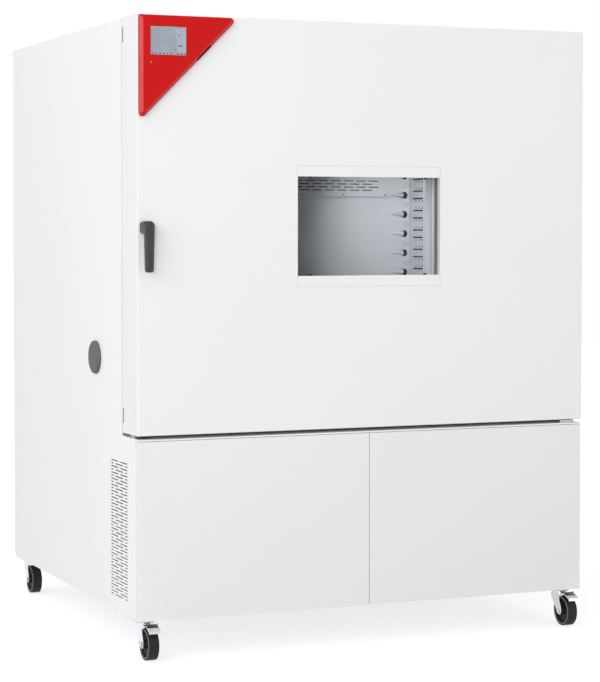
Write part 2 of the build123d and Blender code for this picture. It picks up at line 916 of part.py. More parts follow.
# Door insulation, with the stepped window tunnel
with BuildPart() as door_foam:
    block(
        (-half_width + skin, half_width - skin),
        (door_face + skin, door_back - skin),
        (door_bottom + skin, case_top - skin),
    )
    block((-step_half + skin, step_half - skin), (door_back - skin, door_back + liner_step - skin),
          (step_bottom + skin, step_top - skin))
    with BuildSketch(facing_front(door_face + tunnel_step_depth)):
        with Locations((0, window_z)):
            Rectangle(window_width, window_height)
    extrude(amount=tunnel_step_depth, mode=Mode.SUBTRACT)
    with BuildSketch(facing_front(door_back + liner_step)):
        with Locations((0, window_z)):
            Rectangle(inner_window_width, inner_window_height)
    extrude(amount=door_thickness + liner_step - tunnel_step_depth, mode=Mode.SUBTRACT)
    hinge_pocket()
    bush_bores(bush_radius)
    slits()
    round_bar((handle_x, door_face, handle_z), (0, 1, 0), spindle_radius + 1, door_thickness, Mode.SUBTRACT)
save(door_foam, "door_foam")

# Door inner liner: a flat flange with a raised step that enters the chamber mouth
with BuildPart() as door_liner:
    block((-half_width, half_width), (door_back - skin, door_back), (door_bottom, case_top))
    block((-step_half, step_half), (door_back - skin, door_back + liner_step), (step_bottom, step_top))
    block(
        (-step_half + skin, step_half - skin),
        (door_back - skin, door_back + liner_step - skin),
        (step_bottom + skin, step_top - skin),
        Mode.SUBTRACT,
    )
    with BuildSketch(facing_front(door_back + liner_step)):
        with Locations((0, window_z)):
            Rectangle(inner_window_width, inner_window_height)
    extrude(amount=liner_step + skin, mode=Mode.SUBTRACT)
    hinge_pocket()
    round_bar((handle_x, door_back, handle_z), (0, -1, 0), spindle_radius + 1, skin, Mode.SUBTRACT)
save(door_liner, "door_liner")

# Seal on the rear of the door
with BuildPart() as door_gasket:
    with BuildSketch(facing_front(frame_face - seal_clearance)):
        with Locations((0, door_middle)):
            RectangleRounded(
                chamber_width + 2 * (seal_margin + seal_width),
                chamber_height + 2 * (seal_margin + seal_width),
                30,
            )
            RectangleRounded(
                chamber_width + 2 * seal_margin,
                chamber_height + 2 * seal_margin,
                30 - seal_width,
                mode=Mode.SUBTRACT,
            )
    extrude(amount=seal_gap - seal_clearance)
    crown = door_gasket.faces().sort_by(Axis.Y)[-1].edges()
    chamfer(crown, 3)
save(door_gasket, "door_gasket")

# Window: outer cover frame, stepped tunnel, three panes
with BuildPart() as window_frame:
    with BuildSketch(facing_front(door_face + window_frame_depth)):
        with Locations((0, window_z)):
            Rectangle(window_width, window_height)
            Rectangle(window_width - 2 * window_lip, window_height - 2 * window_bar, mode=Mode.SUBTRACT)
    extrude(amount=window_frame_depth)
save(window_frame, "window_frame")

pane_width = window_width - 2 * tunnel_wall
pane_height = window_height - 2 * tunnel_wall
tunnel_end = door_back + liner_step
with BuildPart() as window_tunnel:
    with BuildSketch(facing_front(door_face + tunnel_step_depth)):
        with Locations((0, window_z)):
            Rectangle(window_width, window_height)
            Rectangle(pane_width, pane_height, mode=Mode.SUBTRACT)
    extrude(amount=tunnel_step_depth - window_frame_depth)
    with BuildSketch(facing_front(door_face + tunnel_step_depth + tunnel_wall)):
        with Locations((0, window_z)):
            Rectangle(inner_window_width, inner_window_height)
            Rectangle(pane_width, pane_height, mode=Mode.SUBTRACT)
    extrude(amount=tunnel_wall)
    with BuildSketch(facing_front(tunnel_end)):
        with Locations((0, window_z)):
            Rectangle(inner_window_width, inner_window_height)
            Rectangle(
                inner_window_width - 2 * tunnel_wall,
                inner_window_height - 2 * tunnel_wall,
                mode=Mode.SUBTRACT,
            )
    extrude(amount=tunnel_end - door_face - tunnel_step_depth - tunnel_wall)
save(window_tunnel, "window_tunnel")

with BuildPart() as window_panes:
    inner_pane_x = inner_window_width / 2 - tunnel_wall
    inner_pane_z = inner_window_height / 2 - tunnel_wall
    for pane_y in (window_frame_depth, middle_pane_depth):
        block(
            (-pane_width / 2, pane_width / 2),
            (door_face + pane_y, door_face + pane_y + pane_thickness),
            (window_z - pane_height / 2, window_z + pane_height / 2),
        )
    block(
        (-inner_pane_x, inner_pane_x),
        (tunnel_end - pane_thickness, tunnel_end),
        (window_z - inner_pane_z, window_z + inner_pane_z),
    )
save(window_panes, "window_panes")

# Triangular control housing in the top corner of the door
panel_left = -half_width + panel_inset_edge
panel_top_z = case_top - panel_inset_edge
panel_face = door_face - panel_base - panel_bevel_depth
screen_x = panel_left + screen_left + screen_width / 2 - 3
screen_z = panel_top_z - screen_top - screen_height / 2 + 3
lamp_x = panel_left + lamp_left - 3
lamp_z = panel_top_z - lamp_below + 3
with BuildPart() as control_housing:
    with BuildSketch(facing_front(door_face)):
        with BuildLine():
            Polyline(
                (panel_left, panel_top_z),
                (panel_left, panel_top_z - panel_leg),
                (panel_left + panel_leg, panel_top_z),
                close=True,
            )
        make_face()
        fillet(vertices().sort_by(Axis.X)[-1], panel_tip_radius)
        fillet(vertices().sort_by(Axis.Y)[0], panel_tip_radius)
    extrude(amount=panel_base + panel_bevel_depth)
    housing_face = control_housing.faces().sort_by(Axis.Y)[0]
    chamfer(housing_face.edges(), panel_bevel_width, panel_bevel_depth, reference=housing_face)
    with BuildSketch(facing_front(panel_face)):
        with Locations((screen_x, screen_z)):
            Rectangle(screen_width, screen_height)
        with Locations((lamp_x, lamp_z)):
            Circle(lamp_radius)
    extrude(amount=-screen_recess, mode=Mode.SUBTRACT)
save(control_housing, "control_housing")

with BuildPart() as display:
    with BuildSketch(facing_front(panel_face + screen_recess)):
        with Locations((screen_x, screen_z)):
            Rectangle(screen_width, screen_height)
    extrude(amount=screen_recess - 0.5)
save(display, "display")

with BuildPart() as status_lamp:
    round_bar((lamp_x, panel_face + screen_recess, lamp_z), (0, -1, 0), lamp_radius, screen_recess + 0.5)
save(status_lamp, "status_lamp")

# Bushes in the door for the hinge pins
with BuildPart() as hinge_bushes:
    for start_z in (door_bottom, pocket_floor - bush_length):
        round_bar((pivot_x, pivot_y, start_z), (0, 0, 1), bush_radius, bush_length)
        round_bar((pivot_x, pivot_y, start_z), (0, 0, 1), pin_radius + pin_clearance, bush_length, Mode.SUBTRACT)
save(hinge_bushes, "hinge_bushes")

# Handle: hub block and tapered lever that hangs down
hub_top = handle_z + hub_height / 2
hub_back = door_face - running_gap
lever_back = door_face - hub_depth
with BuildPart() as door_handle:
    with BuildSketch(facing_front(hub_back)):
        with Locations((handle_x, handle_z)):
            RectangleRounded(hub_width, hub_height, 12)
    extrude(amount=hub_depth - running_gap)
    crown_z = hub_top - lever_top_width / 2
    with BuildSketch(facing_front(lever_back)):
        with BuildLine():
            Polyline(
                (handle_x + lever_top_width / 2, crown_z),
                (handle_x + lever_end_width / 2, hub_top - lever_length),
                (handle_x - lever_end_width / 2, hub_top - lever_length),
                (handle_x - lever_top_width / 2, crown_z),
            )
            ThreePointArc(
                (handle_x - lever_top_width / 2, crown_z),
                (handle_x, hub_top),
                (handle_x + lever_top_width / 2, crown_z),
            )
        make_face()
        fillet(vertices().group_by(Axis.Y)[0], lever_end_radius)
    extrude(amount=lever_thickness)
    lever_face = door_handle.faces().sort_by(Axis.Y)[0]
    chamfer(lever_face.edges(), lever_bevel)
    round_bar((handle_x, hub_back, handle_z), (0, -1, 0), spindle_radius, 20, Mode.SUBTRACT)
save(door_handle, "door_handle")

# Spindle through the door with the latch disc and its eccentric pin
with BuildPart() as latch_spindle:
    disc_start = door_back + running_gap
    round_bar((handle_x, hub_back - 20, handle_z), (0, 1, 0), spindle_radius, disc_start - hub_back + 20)
    round_bar((handle_x, disc_start, handle_z), (0, 1, 0), latch_disc_radius, latch_disc_thickness)
    pin_start = (handle_x, disc_start + latch_disc_thickness, handle_z - latch_orbit)
    round_bar(pin_start, (0, 1, 0), latch_pin_radius, latch_pin_length)
save(latch_spindle, "latch_spindle")

# Casters
plate_bottom = caster_height - plate_thickness
crown_bottom = 2 * wheel_radius + fork_gap
crown_top = crown_bottom + fork_sheet
race_bottom = crown_top + 8
fork_inner = wheel_width / 2 + 3
caster_places = [
    (side * caster_x, door_face + depth, depth == caster_front)
    for depth in (caster_front, caster_rear)
    for side in (-1, 1)
]
with BuildPart() as caster_plates:
    for swivel_x, swivel_y, _ in caster_places:
        block(
            (swivel_x - plate_width / 2, swivel_x + plate_width / 2),
            (swivel_y - plate_width / 2, swivel_y + plate_length - plate_width / 2),
            (plate_bottom, caster_height),
        )
        round_bar((swivel_x, swivel_y, race_bottom + running_gap), (0, 0, 1), race_radius,
                  plate_bottom - race_bottom - running_gap)
        round_bar((swivel_x, swivel_y, crown_bottom + 1), (0, 0, 1), king_pin_radius, plate_bottom - crown_bottom - 1)
save(caster_plates, "caster_plates")


def caster_fork(x, y, has_brake):
    """Pressed fork with its race, two legs and the axle bolt; braked ones carry the pedal's pin."""
    axle_y = y - caster_trail
    leg_outer = fork_inner + fork_sheet
    with BuildPart() as fork:
        with BuildSketch(Plane.XY.offset(crown_bottom)):
            with Locations((x, y - 6)):
                RectangleRounded(2 * leg_outer, 62, 6)
        extrude(amount=fork_sheet)
        round_bar((x, y, crown_top), (0, 0, 1), race_radius - 3, race_bottom - crown_top)
        for side in (-1, 1):
            with BuildSketch(Plane.YZ.offset(x + side * fork_inner)):
                with BuildLine():
                    Polyline(
                        (y + 22, crown_top),
                        (y + 18, crown_bottom - 14),
                        (axle_y + 12, wheel_radius - 6),
                        (axle_y + 4, wheel_radius - 13),
                        (axle_y - 6, wheel_radius - 12),
                        (axle_y - 12, wheel_radius - 4),
                        (axle_y - 11, wheel_radius + 12),
                        (y - 34, crown_bottom - 16),
                        (y - 36, crown_top),
                        close=True,
                    )
                make_face()
                if has_brake:
                    with Locations((y - pedal_pivot, pedal_level)):
                        Circle(ear_radius)
            extrude(amount=side * fork_sheet)
            with BuildSketch(Plane.YZ.offset(x + side * leg_outer)):
                with Locations((axle_y, wheel_radius)):
                    RegularPolygon(9, 6)
            extrude(amount=side * 5)
        round_bar((x - leg_outer, axle_y, wheel_radius), (1, 0, 0), axle_radius, 2 * leg_outer)
        if has_brake:
            pin_start = (x - leg_outer, y - pedal_pivot, pedal_level)
            round_bar(pin_start, (1, 0, 0), pedal_pin, 2 * leg_outer)
        bore_radius = king_pin_radius + pin_clearance
        bore_length = race_bottom - crown_bottom
        round_bar((x, y, crown_bottom), (0, 0, 1), bore_radius, bore_length, Mode.SUBTRACT)
    return fork


def caster_wheel(x, y):
    """Wheel with a crowned tread, recessed faces and a round hub."""
    axle_y = y - caster_trail
    half = wheel_width / 2
    with BuildPart() as wheel:
        with BuildSketch(Plane.XY.offset(wheel_radius)):
            with BuildLine():
                Polyline(
                    (x - half - 2, axle_y + axle_radius + pin_clearance),
                    (x - half - 2, axle_y + 13),
                    (x - half + 8, axle_y + 15),
                    (x - half + 8, axle_y + wheel_radius - 11),
                    (x - half, axle_y + wheel_radius - 8),
                    (x - half + 2, axle_y + wheel_radius),
                    (x + half - 2, axle_y + wheel_radius),
                    (x + half, axle_y + wheel_radius - 8),
                    (x + half - 8, axle_y + wheel_radius - 11),
                    (x + half - 8, axle_y + 15),
                    (x + half + 2, axle_y + 13),
                    (x + half + 2, axle_y + axle_radius + pin_clearance),
                    close=True,
                )
            make_face()
        revolve(axis=Axis((0, axle_y, wheel_radius), (1, 0, 0)))
    return wheel


def brake_pedal(x, y):
    """Folded foot plate over the front of the wheel, turning on the pin of its fork."""
    tip_y = y - pedal_reach
    pivot_y = y - pedal_pivot
    with BuildPart() as pedal:
        with BuildSketch(Plane.YZ.offset(x - pedal_half)):
            with BuildLine():
                Polyline(
                    (pivot_y, pedal_level + pedal_sheet),
                    (pivot_y - 18, pedal_level + pedal_sheet),
                    (tip_y + 2, pedal_level - 8),
                    (tip_y, pedal_level - 16),
                    (tip_y + pedal_sheet, pedal_level - 16),
                    (tip_y + pedal_sheet + 2, pedal_level - 11),
                    (pivot_y - 18, pedal_level),
                    (pivot_y, pedal_level),
                    close=True,
                )
            make_face()
        extrude(amount=2 * pedal_half)
        barrel_start = (x - pedal_half, pivot_y, pedal_level)
        round_bar(barrel_start, (1, 0, 0), pedal_pin + 2.5, 2 * pedal_half)
        round_bar(barrel_start, (1, 0, 0), pedal_pin + pin_clearance, 2 * pedal_half, Mode.SUBTRACT)
    return pedal


for number, (swivel_x, swivel_y, has_brake) in enumerate(caster_places, start=1):
    save(caster_fork(swivel_x, swivel_y, has_brake), f"caster_fork_{number}")
    save(caster_wheel(swivel_x, swivel_y), f"caster_wheel_{number}")
    if has_brake:
        save(brake_pedal(swivel_x, swivel_y), f"brake_pedal_{number}")
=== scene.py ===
import logging
import math
from dataclasses import dataclass, field
from enum import Enum
from itertools import product
from typing import Callable, Iterable, Sequence

import bmesh
import bpy
from mathutils import Matrix, Vector


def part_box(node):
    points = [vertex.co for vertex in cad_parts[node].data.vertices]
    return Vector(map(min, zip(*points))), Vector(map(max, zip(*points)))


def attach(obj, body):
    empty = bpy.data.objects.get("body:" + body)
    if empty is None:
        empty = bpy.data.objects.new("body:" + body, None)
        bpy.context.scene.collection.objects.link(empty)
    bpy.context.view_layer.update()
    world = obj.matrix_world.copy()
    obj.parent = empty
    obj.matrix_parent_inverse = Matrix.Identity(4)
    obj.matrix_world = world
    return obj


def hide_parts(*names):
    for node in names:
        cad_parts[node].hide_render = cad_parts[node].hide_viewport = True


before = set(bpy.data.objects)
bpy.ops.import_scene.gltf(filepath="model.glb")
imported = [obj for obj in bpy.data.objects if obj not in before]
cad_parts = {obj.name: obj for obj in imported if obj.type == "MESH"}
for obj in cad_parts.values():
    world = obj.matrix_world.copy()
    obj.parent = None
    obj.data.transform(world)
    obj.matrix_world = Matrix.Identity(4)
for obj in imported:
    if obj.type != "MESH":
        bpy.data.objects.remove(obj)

Colour = tuple[float, float, float]
Point = tuple[float, float, float]
Share = tuple[float, float, float, float]
Slab = tuple[Point, Point]
log = logging.getLogger("test_chamber")

PHOTO_HEIGHT = 682


class Body(Enum):
    """Rigid bodies that the dressed pieces ride on."""

    CABINET = "cabinet"
    DOOR = "door"


class Grain(Enum):
    """Direction in which a sheet was brushed, as noise stretch factors."""

    ACROSS = (0.02, 1.0, 1.0)
    DEEP = (1.0, 0.02, 1.0)
    UPRIGHT = (1.0, 1.0, 0.02)


class Slot(Enum):
    """Names of material slots; nothing in this script uses them."""

    ZINC = "zinc"
    BLACK = "black_plastic"
    GREY = "grey_plastic"
    RED = "red_plastic"
    SCREEN = "screen"


# Shader building


@dataclass
class Sheet:
    """A node tree with short calls for adding, setting and joining nodes."""

    tree: bpy.types.NodeTree

    def feed(self, socket: bpy.types.NodeSocket, value: object) -> None:
        """Join an output to an input socket, or set the socket's value.

        Args:
            socket: the input socket.
            value: an output to join, a number or vector, or a colour of three channels.
        """
        if isinstance(value, bpy.types.NodeSocket):
            self.tree.links.new(value, socket)
        elif socket.type == "RGBA" and len(value) == 3:
            socket.default_value = (*value, 1.0)
        else:
            socket.default_value = value

    def add(self, kind: str, **sockets: object) -> bpy.types.Node:
        """Add a node and set its named inputs.

        Args:
            kind: Blender's node type name.
            **sockets: input names, with underscores for spaces, and a value or an output to join.

        Returns:
            The new node.
        """
        node = self.tree.nodes.new(kind)
        for key, value in sockets.items():
            self.feed(node.inputs[key.replace("_", " ")], value)
        return node

    def place(self) -> bpy.types.NodeSocket:
        """Add the dressed object's own coordinates."""
        return self.add("ShaderNodeTexCoord").outputs["Object"]

    def math(self, operation: str, first: object, second: object = 0.0) -> bpy.types.NodeSocket:
        """Add a math node.

        Args:
            operation: Blender's name for the operation.
            first: left value or output.
            second: right value or output.

        Returns:
            The result socket.
        """
        node = self.tree.nodes.new("ShaderNodeMath")
        node.operation = operation
        for socket, value in zip(node.inputs, (first, second)):
            self.feed(socket, value)
        return node.outputs[0]

    def plus(self, start: object, value: object, share: float) -> bpy.types.NodeSocket:
        """Add a share of one value to another.

        Args:
            start: value or output to start from.
            value: value or output to add a share of.
            share: factor of the added value.

        Returns:
            The sum's socket.
        """
        return self.math("ADD", start, self.math("MULTIPLY", value, share))

    def vector(self, operation: str, first: object, second: object = None) -> bpy.types.Node:
        """Add a vector math node.

        Args:
            operation: Blender's name for the operation.
            first: left vector or output.
            second: right vector or output, when the operation has one.

        Returns:
            The node.
        """
        node = self.tree.nodes.new("ShaderNodeVectorMath")
        node.operation = operation
        self.feed(node.inputs[0], first)
        if second is not None:
            self.feed(node.inputs[1], second)
        return node

    def mix(self, share: object, low: object, high: object) -> bpy.types.NodeSocket:
        """Mix two colours.

        Args:
            share: how much of the second colour shows.
            low: first colour or output.
            high: second colour or output.

        Returns:
            The mixed colour's socket.
        """
        node = self.tree.nodes.new("ShaderNodeMix")
        node.data_type = "RGBA"
        for index, value in ((0, share), (6, low), (7, high)):
            self.feed(node.inputs[index], value)
        return node.outputs[2]

    def noise(self, vector: object, scale: object, detail: float = 2.0) -> bpy.types.NodeSocket:
        """Add a noise texture.

        Args:
            vector: coordinates.
            scale: cells to the metre.
            detail: number of finer layers.

        Returns:
            The grey value's socket.
        """
        return self.add("ShaderNodeTexNoise", Vector=vector, Scale=scale, Detail=detail).outputs[0]

    def band(self, value: object, low: float, high: float) -> bpy.types.NodeSocket:
        """Turn a value into a mask.

        Args:
            value: value or output.
            low: value where the mask is 0.
            high: value where the mask is 1.

        Returns:
            The mask's socket.
        """
        return self.add("ShaderNodeMapRange", Value=value, From_Min=low, From_Max=high).outputs[0]

    def bump(self, height: object, relief: float) -> bpy.types.NodeSocket:
        """Turn a height into a normal.

        Args:
            height: height output, from 0 to 1.
            relief: distance that a height of 1 stands for, in metres.

        Returns:
            The normal's socket.
        """
        return self.add("ShaderNodeBump", Strength=1.0, Distance=relief, Height=height).outputs["Normal"]


SURFACE_OUTPUTS = {"Color": "NodeSocketColor", "Roughness": "NodeSocketFloat", "Height": "NodeSocketFloat"}


def open_effect(name: str, inputs: dict[str, object]) -> tuple[Sheet, bpy.types.NodeOutputs]:
    """Start a node group that several finishes share.

    Args:
        name: the group's name.
        inputs: socket names with their default number or colour, or None for a vector.

    Returns:
        A sheet to fill the group with, and the outputs that bring its inputs.
    """
    tree = bpy.data.node_groups.new(name, "ShaderNodeTree")
    kinds = {tuple: "NodeSocketColor", float: "NodeSocketFloat", type(None): "NodeSocketVector"}
    for label, value in inputs.items():
        socket = tree.interface.new_socket(label, in_out="INPUT", socket_type=kinds[type(value)])
        if value is not None:
            socket.default_value = (*value, 1.0) if isinstance(value, tuple) else value
    for label, kind in SURFACE_OUTPUTS.items():
        tree.interface.new_socket(label, in_out="OUTPUT", socket_type=kind)
    sheet = Sheet(tree)
    return sheet, sheet.add("NodeGroupInput").outputs


def close_effect(sheet: Sheet, colour: object, roughness: object, height: object) -> bpy.types.NodeTree:
    """Join the results of a shared group to its outputs.

    Args:
        sheet: the group's sheet.
        colour: colour output.
        roughness: roughness output.
        height: height output.

    Returns:
        The finished group.
    """
    sheet.add("NodeGroupOutput", Color=colour, Roughness=roughness, Height=height)
    return sheet.tree


def coat_grain_group() -> bpy.types.NodeTree:
    """Build the orange-peel texture of powder coat.

    Returns:
        The group, with colour, roughness and height outputs.
    """
    sheet, given = open_effect(
        "coat_grain", {"Base": (0.8, 0.8, 0.8), "Shade": (0.7, 0.7, 0.7), "Gloss": 0.4, "Cells": 420.0}
    )
    drift_cells, speck_finer, speck_share, drift_share, drift_dulling = 1.7, 1.6, 0.32, 0.4, 0.12
    place = sheet.place()
    peel = sheet.noise(place, given["Cells"], 3.0)
    drift = sheet.noise(place, drift_cells, 3.0)
    fine = sheet.noise(place, sheet.math("MULTIPLY", given["Cells"], speck_finer), 1.0)
    speck = sheet.band(fine, 0.35, 0.65)
    share = sheet.plus(sheet.math("MULTIPLY", speck, speck_share), drift, drift_share)
    rough = sheet.plus(given["Gloss"], drift, drift_dulling)
    return close_effect(sheet, sheet.mix(share, given["Base"], given["Shade"]), rough, peel)


def brushed_group() -> bpy.types.NodeTree:
    """Build the fine parallel scratches of brushed sheet metal.

    Returns:
        The group, with colour, roughness and height outputs.
    """
    sheet, given = open_effect(
        "brushed_sheet",
        {"Base": (0.6, 0.6, 0.6), "Streak": (0.5, 0.5, 0.5), "Gloss": 0.3, "Cells": 900.0, "Place": None},
    )
    broad_coarser, line_share, broad_share, line_dulling = 0.08, 0.6, 0.4, 0.18
    lines = sheet.noise(given["Place"], given["Cells"], 4.0)
    broad = sheet.noise(given["Place"], sheet.math("MULTIPLY", given["Cells"], broad_coarser), 2.0)
    share = sheet.plus(sheet.math("MULTIPLY", lines, line_share), broad, broad_share)
    rough = sheet.plus(given["Gloss"], lines, line_dulling)
    return close_effect(sheet, sheet.mix(share, given["Base"], given["Streak"]), rough, lines)


def mould_grain_group() -> bpy.types.NodeTree:
    """Build the spark-eroded grain of moulded plastic and rubber.

    Returns:
        The group, with colour, roughness and height outputs.
    """
    sheet, given = open_effect(
        "mould_grain", {"Base": (0.1, 0.1, 0.1), "Rub": (0.2, 0.2, 0.2), "Gloss": 0.5, "Cells": 1500.0}
    )
    cloud_cells, cloud_share, grain_dulling = 14.0, 0.5, 0.1
    place = sheet.place()
    grain = sheet.noise(place, given["Cells"], 2.0)
    cloud = sheet.band(sheet.noise(place, cloud_cells, 4.0), 0.4, 0.8)
    share = sheet.math("MULTIPLY", cloud, cloud_share)
    rough = sheet.plus(given["Gloss"], grain, grain_dulling)
    return close_effect(sheet, sheet.mix(share, given["Base"], given["Rub"]), rough, grain)


def fin_group() -> bpy.types.NodeTree:
    """Build the close upright fins of a heat exchanger block, with painted shade in the gaps between them.

    Returns:
        The group, with colour, roughness and height outputs.
    """
    sheet, given = open_effect(
        "fin_stack", {"Base": (0.7, 0.7, 0.7), "GapShade": (0.1, 0.1, 0.1), "Gloss": 0.35, "Pitch": 0.003}
    )
    dust_cells, dust_dulling = 60.0, 0.2
    place = sheet.place()
    across = sheet.add("ShaderNodeSeparateXYZ", Vector=place).outputs["X"]
    phase = sheet.math("FRACT", sheet.math("DIVIDE", across, given["Pitch"]))
    ridge = sheet.math("ABSOLUTE", sheet.math("SUBTRACT", phase, 0.5))
    # Dark bands between the fins: painted shade.
    edge = sheet.band(ridge, 0.12, 0.2)
    rough = sheet.plus(given["Gloss"], sheet.noise(place, dust_cells), dust_dulling)
    height = sheet.math("SUBTRACT", 1.0, edge)
    return close_effect(sheet, sheet.mix(edge, given["Base"], given["GapShade"]), rough, height)


@dataclass
class GroupShelf:
    """Keeps each shared effect group so that it is built once."""

    made: dict[str, bpy.types.NodeTree] = field(default_factory=dict)

    def get(self, maker: Callable[[], bpy.types.NodeTree]) -> bpy.types.NodeTree:
        """Return the group of a maker function, building it on first use.

        Args:
            maker: function that builds the group.

        Returns:
            The group.
        """
        if maker.__name__ not in self.made:
            self.made[maker.__name__] = maker()
        return self.made[maker.__name__]


groups = GroupShelf()


def open_material(name: str) -> tuple[bpy.types.Material, Sheet, bpy.types.NodeInputs]:
    """Start a material.

    Args:
        name: the material's name.

    Returns:
        The material, a sheet for its nodes and the inputs of its Principled shader.
    """
    material = bpy.data.materials.new(name)
    material.use_nodes = True
    return material, Sheet(material.node_tree), material.node_tree.nodes["Principled BSDF"].inputs


@dataclass(frozen=True)
class Finish:
    """A painted, moulded or metal surface made from one shared effect.

    Args:
        name: the material's name.
        base: main colour.
        second: colour of the specks, streaks or rubbed places; for fins, the painted shade between them.
        effect: maker of the shared group.
        gloss: lowest roughness.
        cells: cells to the metre of the fine texture.
        relief: height of the fine texture, in metres.
        metallic: 1 for bare metal.
        coat: weight of the clear layer on top.
        specular: level of the surface's plain reflection.
        anisotropy: stretch of the highlight on brushed metal.
        grain: brushing direction, for brushed sheet.
    """

    name: str
    base: Colour
    second: Colour
    effect: Callable[[], bpy.types.NodeTree]
    gloss: float = 0.45
    cells: float = 420.0
    relief: float = 0.0001
    metallic: float = 0.0
    coat: float = 0.0
    specular: float = 0.5
    anisotropy: float = 0.0
    grain: Grain = Grain.ACROSS

    def build(self) -> bpy.types.Material:
        """Make the material, or return it if it is already made.

        Returns:
            The material.
        """
        found = bpy.data.materials.get(self.name)
        if found:
            return found
        material, sheet, shader = open_material(self.name)
        group = sheet.tree.nodes.new("ShaderNodeGroup")
        group.node_tree = groups.get(self.effect)
        for socket, value in zip(group.inputs, (self.base, self.second, self.gloss, self.cells)):
            sheet.feed(socket, value)
        if "Place" in group.inputs:
            stretched = sheet.vector("MULTIPLY", sheet.place(), self.grain.value)
            sheet.feed(group.inputs["Place"], stretched.outputs[0])
        sheet.feed(shader["Base Color"], group.outputs["Color"])
        sheet.feed(shader["Roughness"], group.outputs["Roughness"])
        sheet.feed(shader["Normal"], sheet.bump(group.outputs["Height"], self.relief))
        shader["Metallic"].default_value = self.metallic
        shader["Coat Weight"].default_value = self.coat
        shader["Specular IOR Level"].default_value = self.specular
        shader["Anisotropic"].default_value = self.anisotropy
        return material


@dataclass(frozen=True)
class PaneGlass:
    """Clear window glass that lets lamp light through without caustics.

    Args:
        name: the material's name.
        tint: colour of the glass.
        hazed: colour where a faint film lies on it.
        bending: index of refraction, low so that the room mirrors little.
        haze_cells: patches of film to the metre.
    """

    name: str = "pane_glass"
    tint: Colour = (0.99, 0.994, 0.998)
    hazed: Colour = (0.985, 0.992, 0.997)
    bending: float = 1.1
    haze_cells: float = 6.0

    def build(self) -> bpy.types.Material:
        """Make the material."""
        material, sheet, shader = open_material(self.name)
        shader["Transmission Weight"].default_value = 1.0
        shader["IOR"].default_value = self.bending
        haze = sheet.band(sheet.noise(sheet.place(), self.haze_cells, 4.0), 0.3, 0.9)
        sheet.feed(shader["Base Color"], sheet.mix(haze, self.tint, self.hazed))
        shader["Roughness"].default_value = 0.0
        clear = sheet.add("ShaderNodeBsdfTransparent", Color=self.tint)
        blend = sheet.tree.nodes.new("ShaderNodeMixShader")
        parts = (
            sheet.add("ShaderNodeLightPath").outputs["Is Shadow Ray"],
            sheet.tree.nodes["Principled BSDF"].outputs[0],
            clear.outputs[0],
        )
        for socket, part in zip(blend.inputs, parts):
            sheet.feed(socket, part)
        sheet.feed(sheet.tree.nodes["Material Output"].inputs["Surface"], blend.outputs[0])
        return material


@dataclass(frozen=True)
class GlowFinish:
    """Lit surface of the screen or the lamp.

    Args:
        name: the material's name.
        colour: surface and light colour.
        glow: strength of its own light.
        variation: how much the colour changes over the surface.
        cloud_cells: patches of changed colour to the metre.
        dullness: noise values at which the roughness would be 0 and 1.
    """

    name: str
    colour: Colour
    glow: float = 0.35
    variation: float = 0.06
    cloud_cells: float = 30.0
    dullness: tuple[float, float] = (-3.5, 3.5)

    def build(self) -> bpy.types.Material:
        """Make the material."""
        material, sheet, shader = open_material(self.name)
        cloud = sheet.noise(sheet.place(), self.cloud_cells, 2.0)
        darker = tuple(channel * (1 - 4 * self.variation) for channel in self.colour)
        tone = sheet.mix(cloud, self.colour, darker)
        sheet.feed(shader["Base Color"], tone)
        sheet.feed(shader["Emission Color"], tone)
        sheet.feed(shader["Roughness"], sheet.band(cloud, *self.dullness))
        shader["Emission Strength"].default_value = self.glow
        return material


@dataclass(frozen=True)
class WheelFinish:
    """Caster wheel: black hub, grey rim and dark rubber tread, told apart by their distance from the axle.

    Args:
        name: the material's name.
        axle: a point on the axle, in metres.
        hub_edge: radius where the black hub ends.
        rim_edge: radius where the grey rim ends.
        edge_run: width over which one part changes into the next.
        grain_cells: grains to the metre.
        gloss: lowest roughness.
        relief: height of the grain, in metres.
        specular: level of the surface's plain reflection.
        dulling: how much the grain dulls the surface.
        hub: darkest and lightest colour of the hub.
        rim: lightest and darkest colour of the rim.
        tread: darkest and lightest colour of the tread.
    """

    name: str
    axle: Point
    hub_edge: float = 0.0405
    rim_edge: float = 0.0462
    edge_run: float = 0.0006
    grain_cells: float = 900.0
    gloss: float = 0.5
    relief: float = 0.00015
    specular: float = 0.3
    dulling: float = 0.15
    hub: tuple[Colour, Colour] = ((0.004, 0.004, 0.004), (0.009, 0.009, 0.009))
    rim: tuple[Colour, Colour] = ((0.16, 0.165, 0.17), (0.12, 0.123, 0.126))
    tread: tuple[Colour, Colour] = ((0.006, 0.006, 0.0065), (0.014, 0.014, 0.015))

    def build(self) -> bpy.types.Material:
        """Make the material."""
        material, sheet, shader = open_material(self.name)
        place = sheet.place()
        offset = sheet.vector("SUBTRACT", place, self.axle).outputs[0]
        flat = sheet.vector("MULTIPLY", offset, (0.0, 1.0, 1.0)).outputs[0]
        radius = sheet.vector("LENGTH", flat).outputs["Value"]
        grain = sheet.noise(place, self.grain_cells, 2.0)
        hub, rim, tread = (sheet.mix(grain, *tones) for tones in (self.hub, self.rim, self.tread))
        inner = sheet.mix(sheet.band(radius, self.hub_edge, self.hub_edge + self.edge_run), hub, rim)
        whole = sheet.mix(sheet.band(radius, self.rim_edge, self.rim_edge + self.edge_run), inner, tread)
        sheet.feed(shader["Base Color"], whole)
        sheet.feed(shader["Roughness"], sheet.plus(self.gloss, grain, self.dulling))
        shader["Specular IOR Level"].default_value = self.specular
        sheet.feed(shader["Normal"], sheet.bump(grain, self.relief))
        return material


# Mesh building


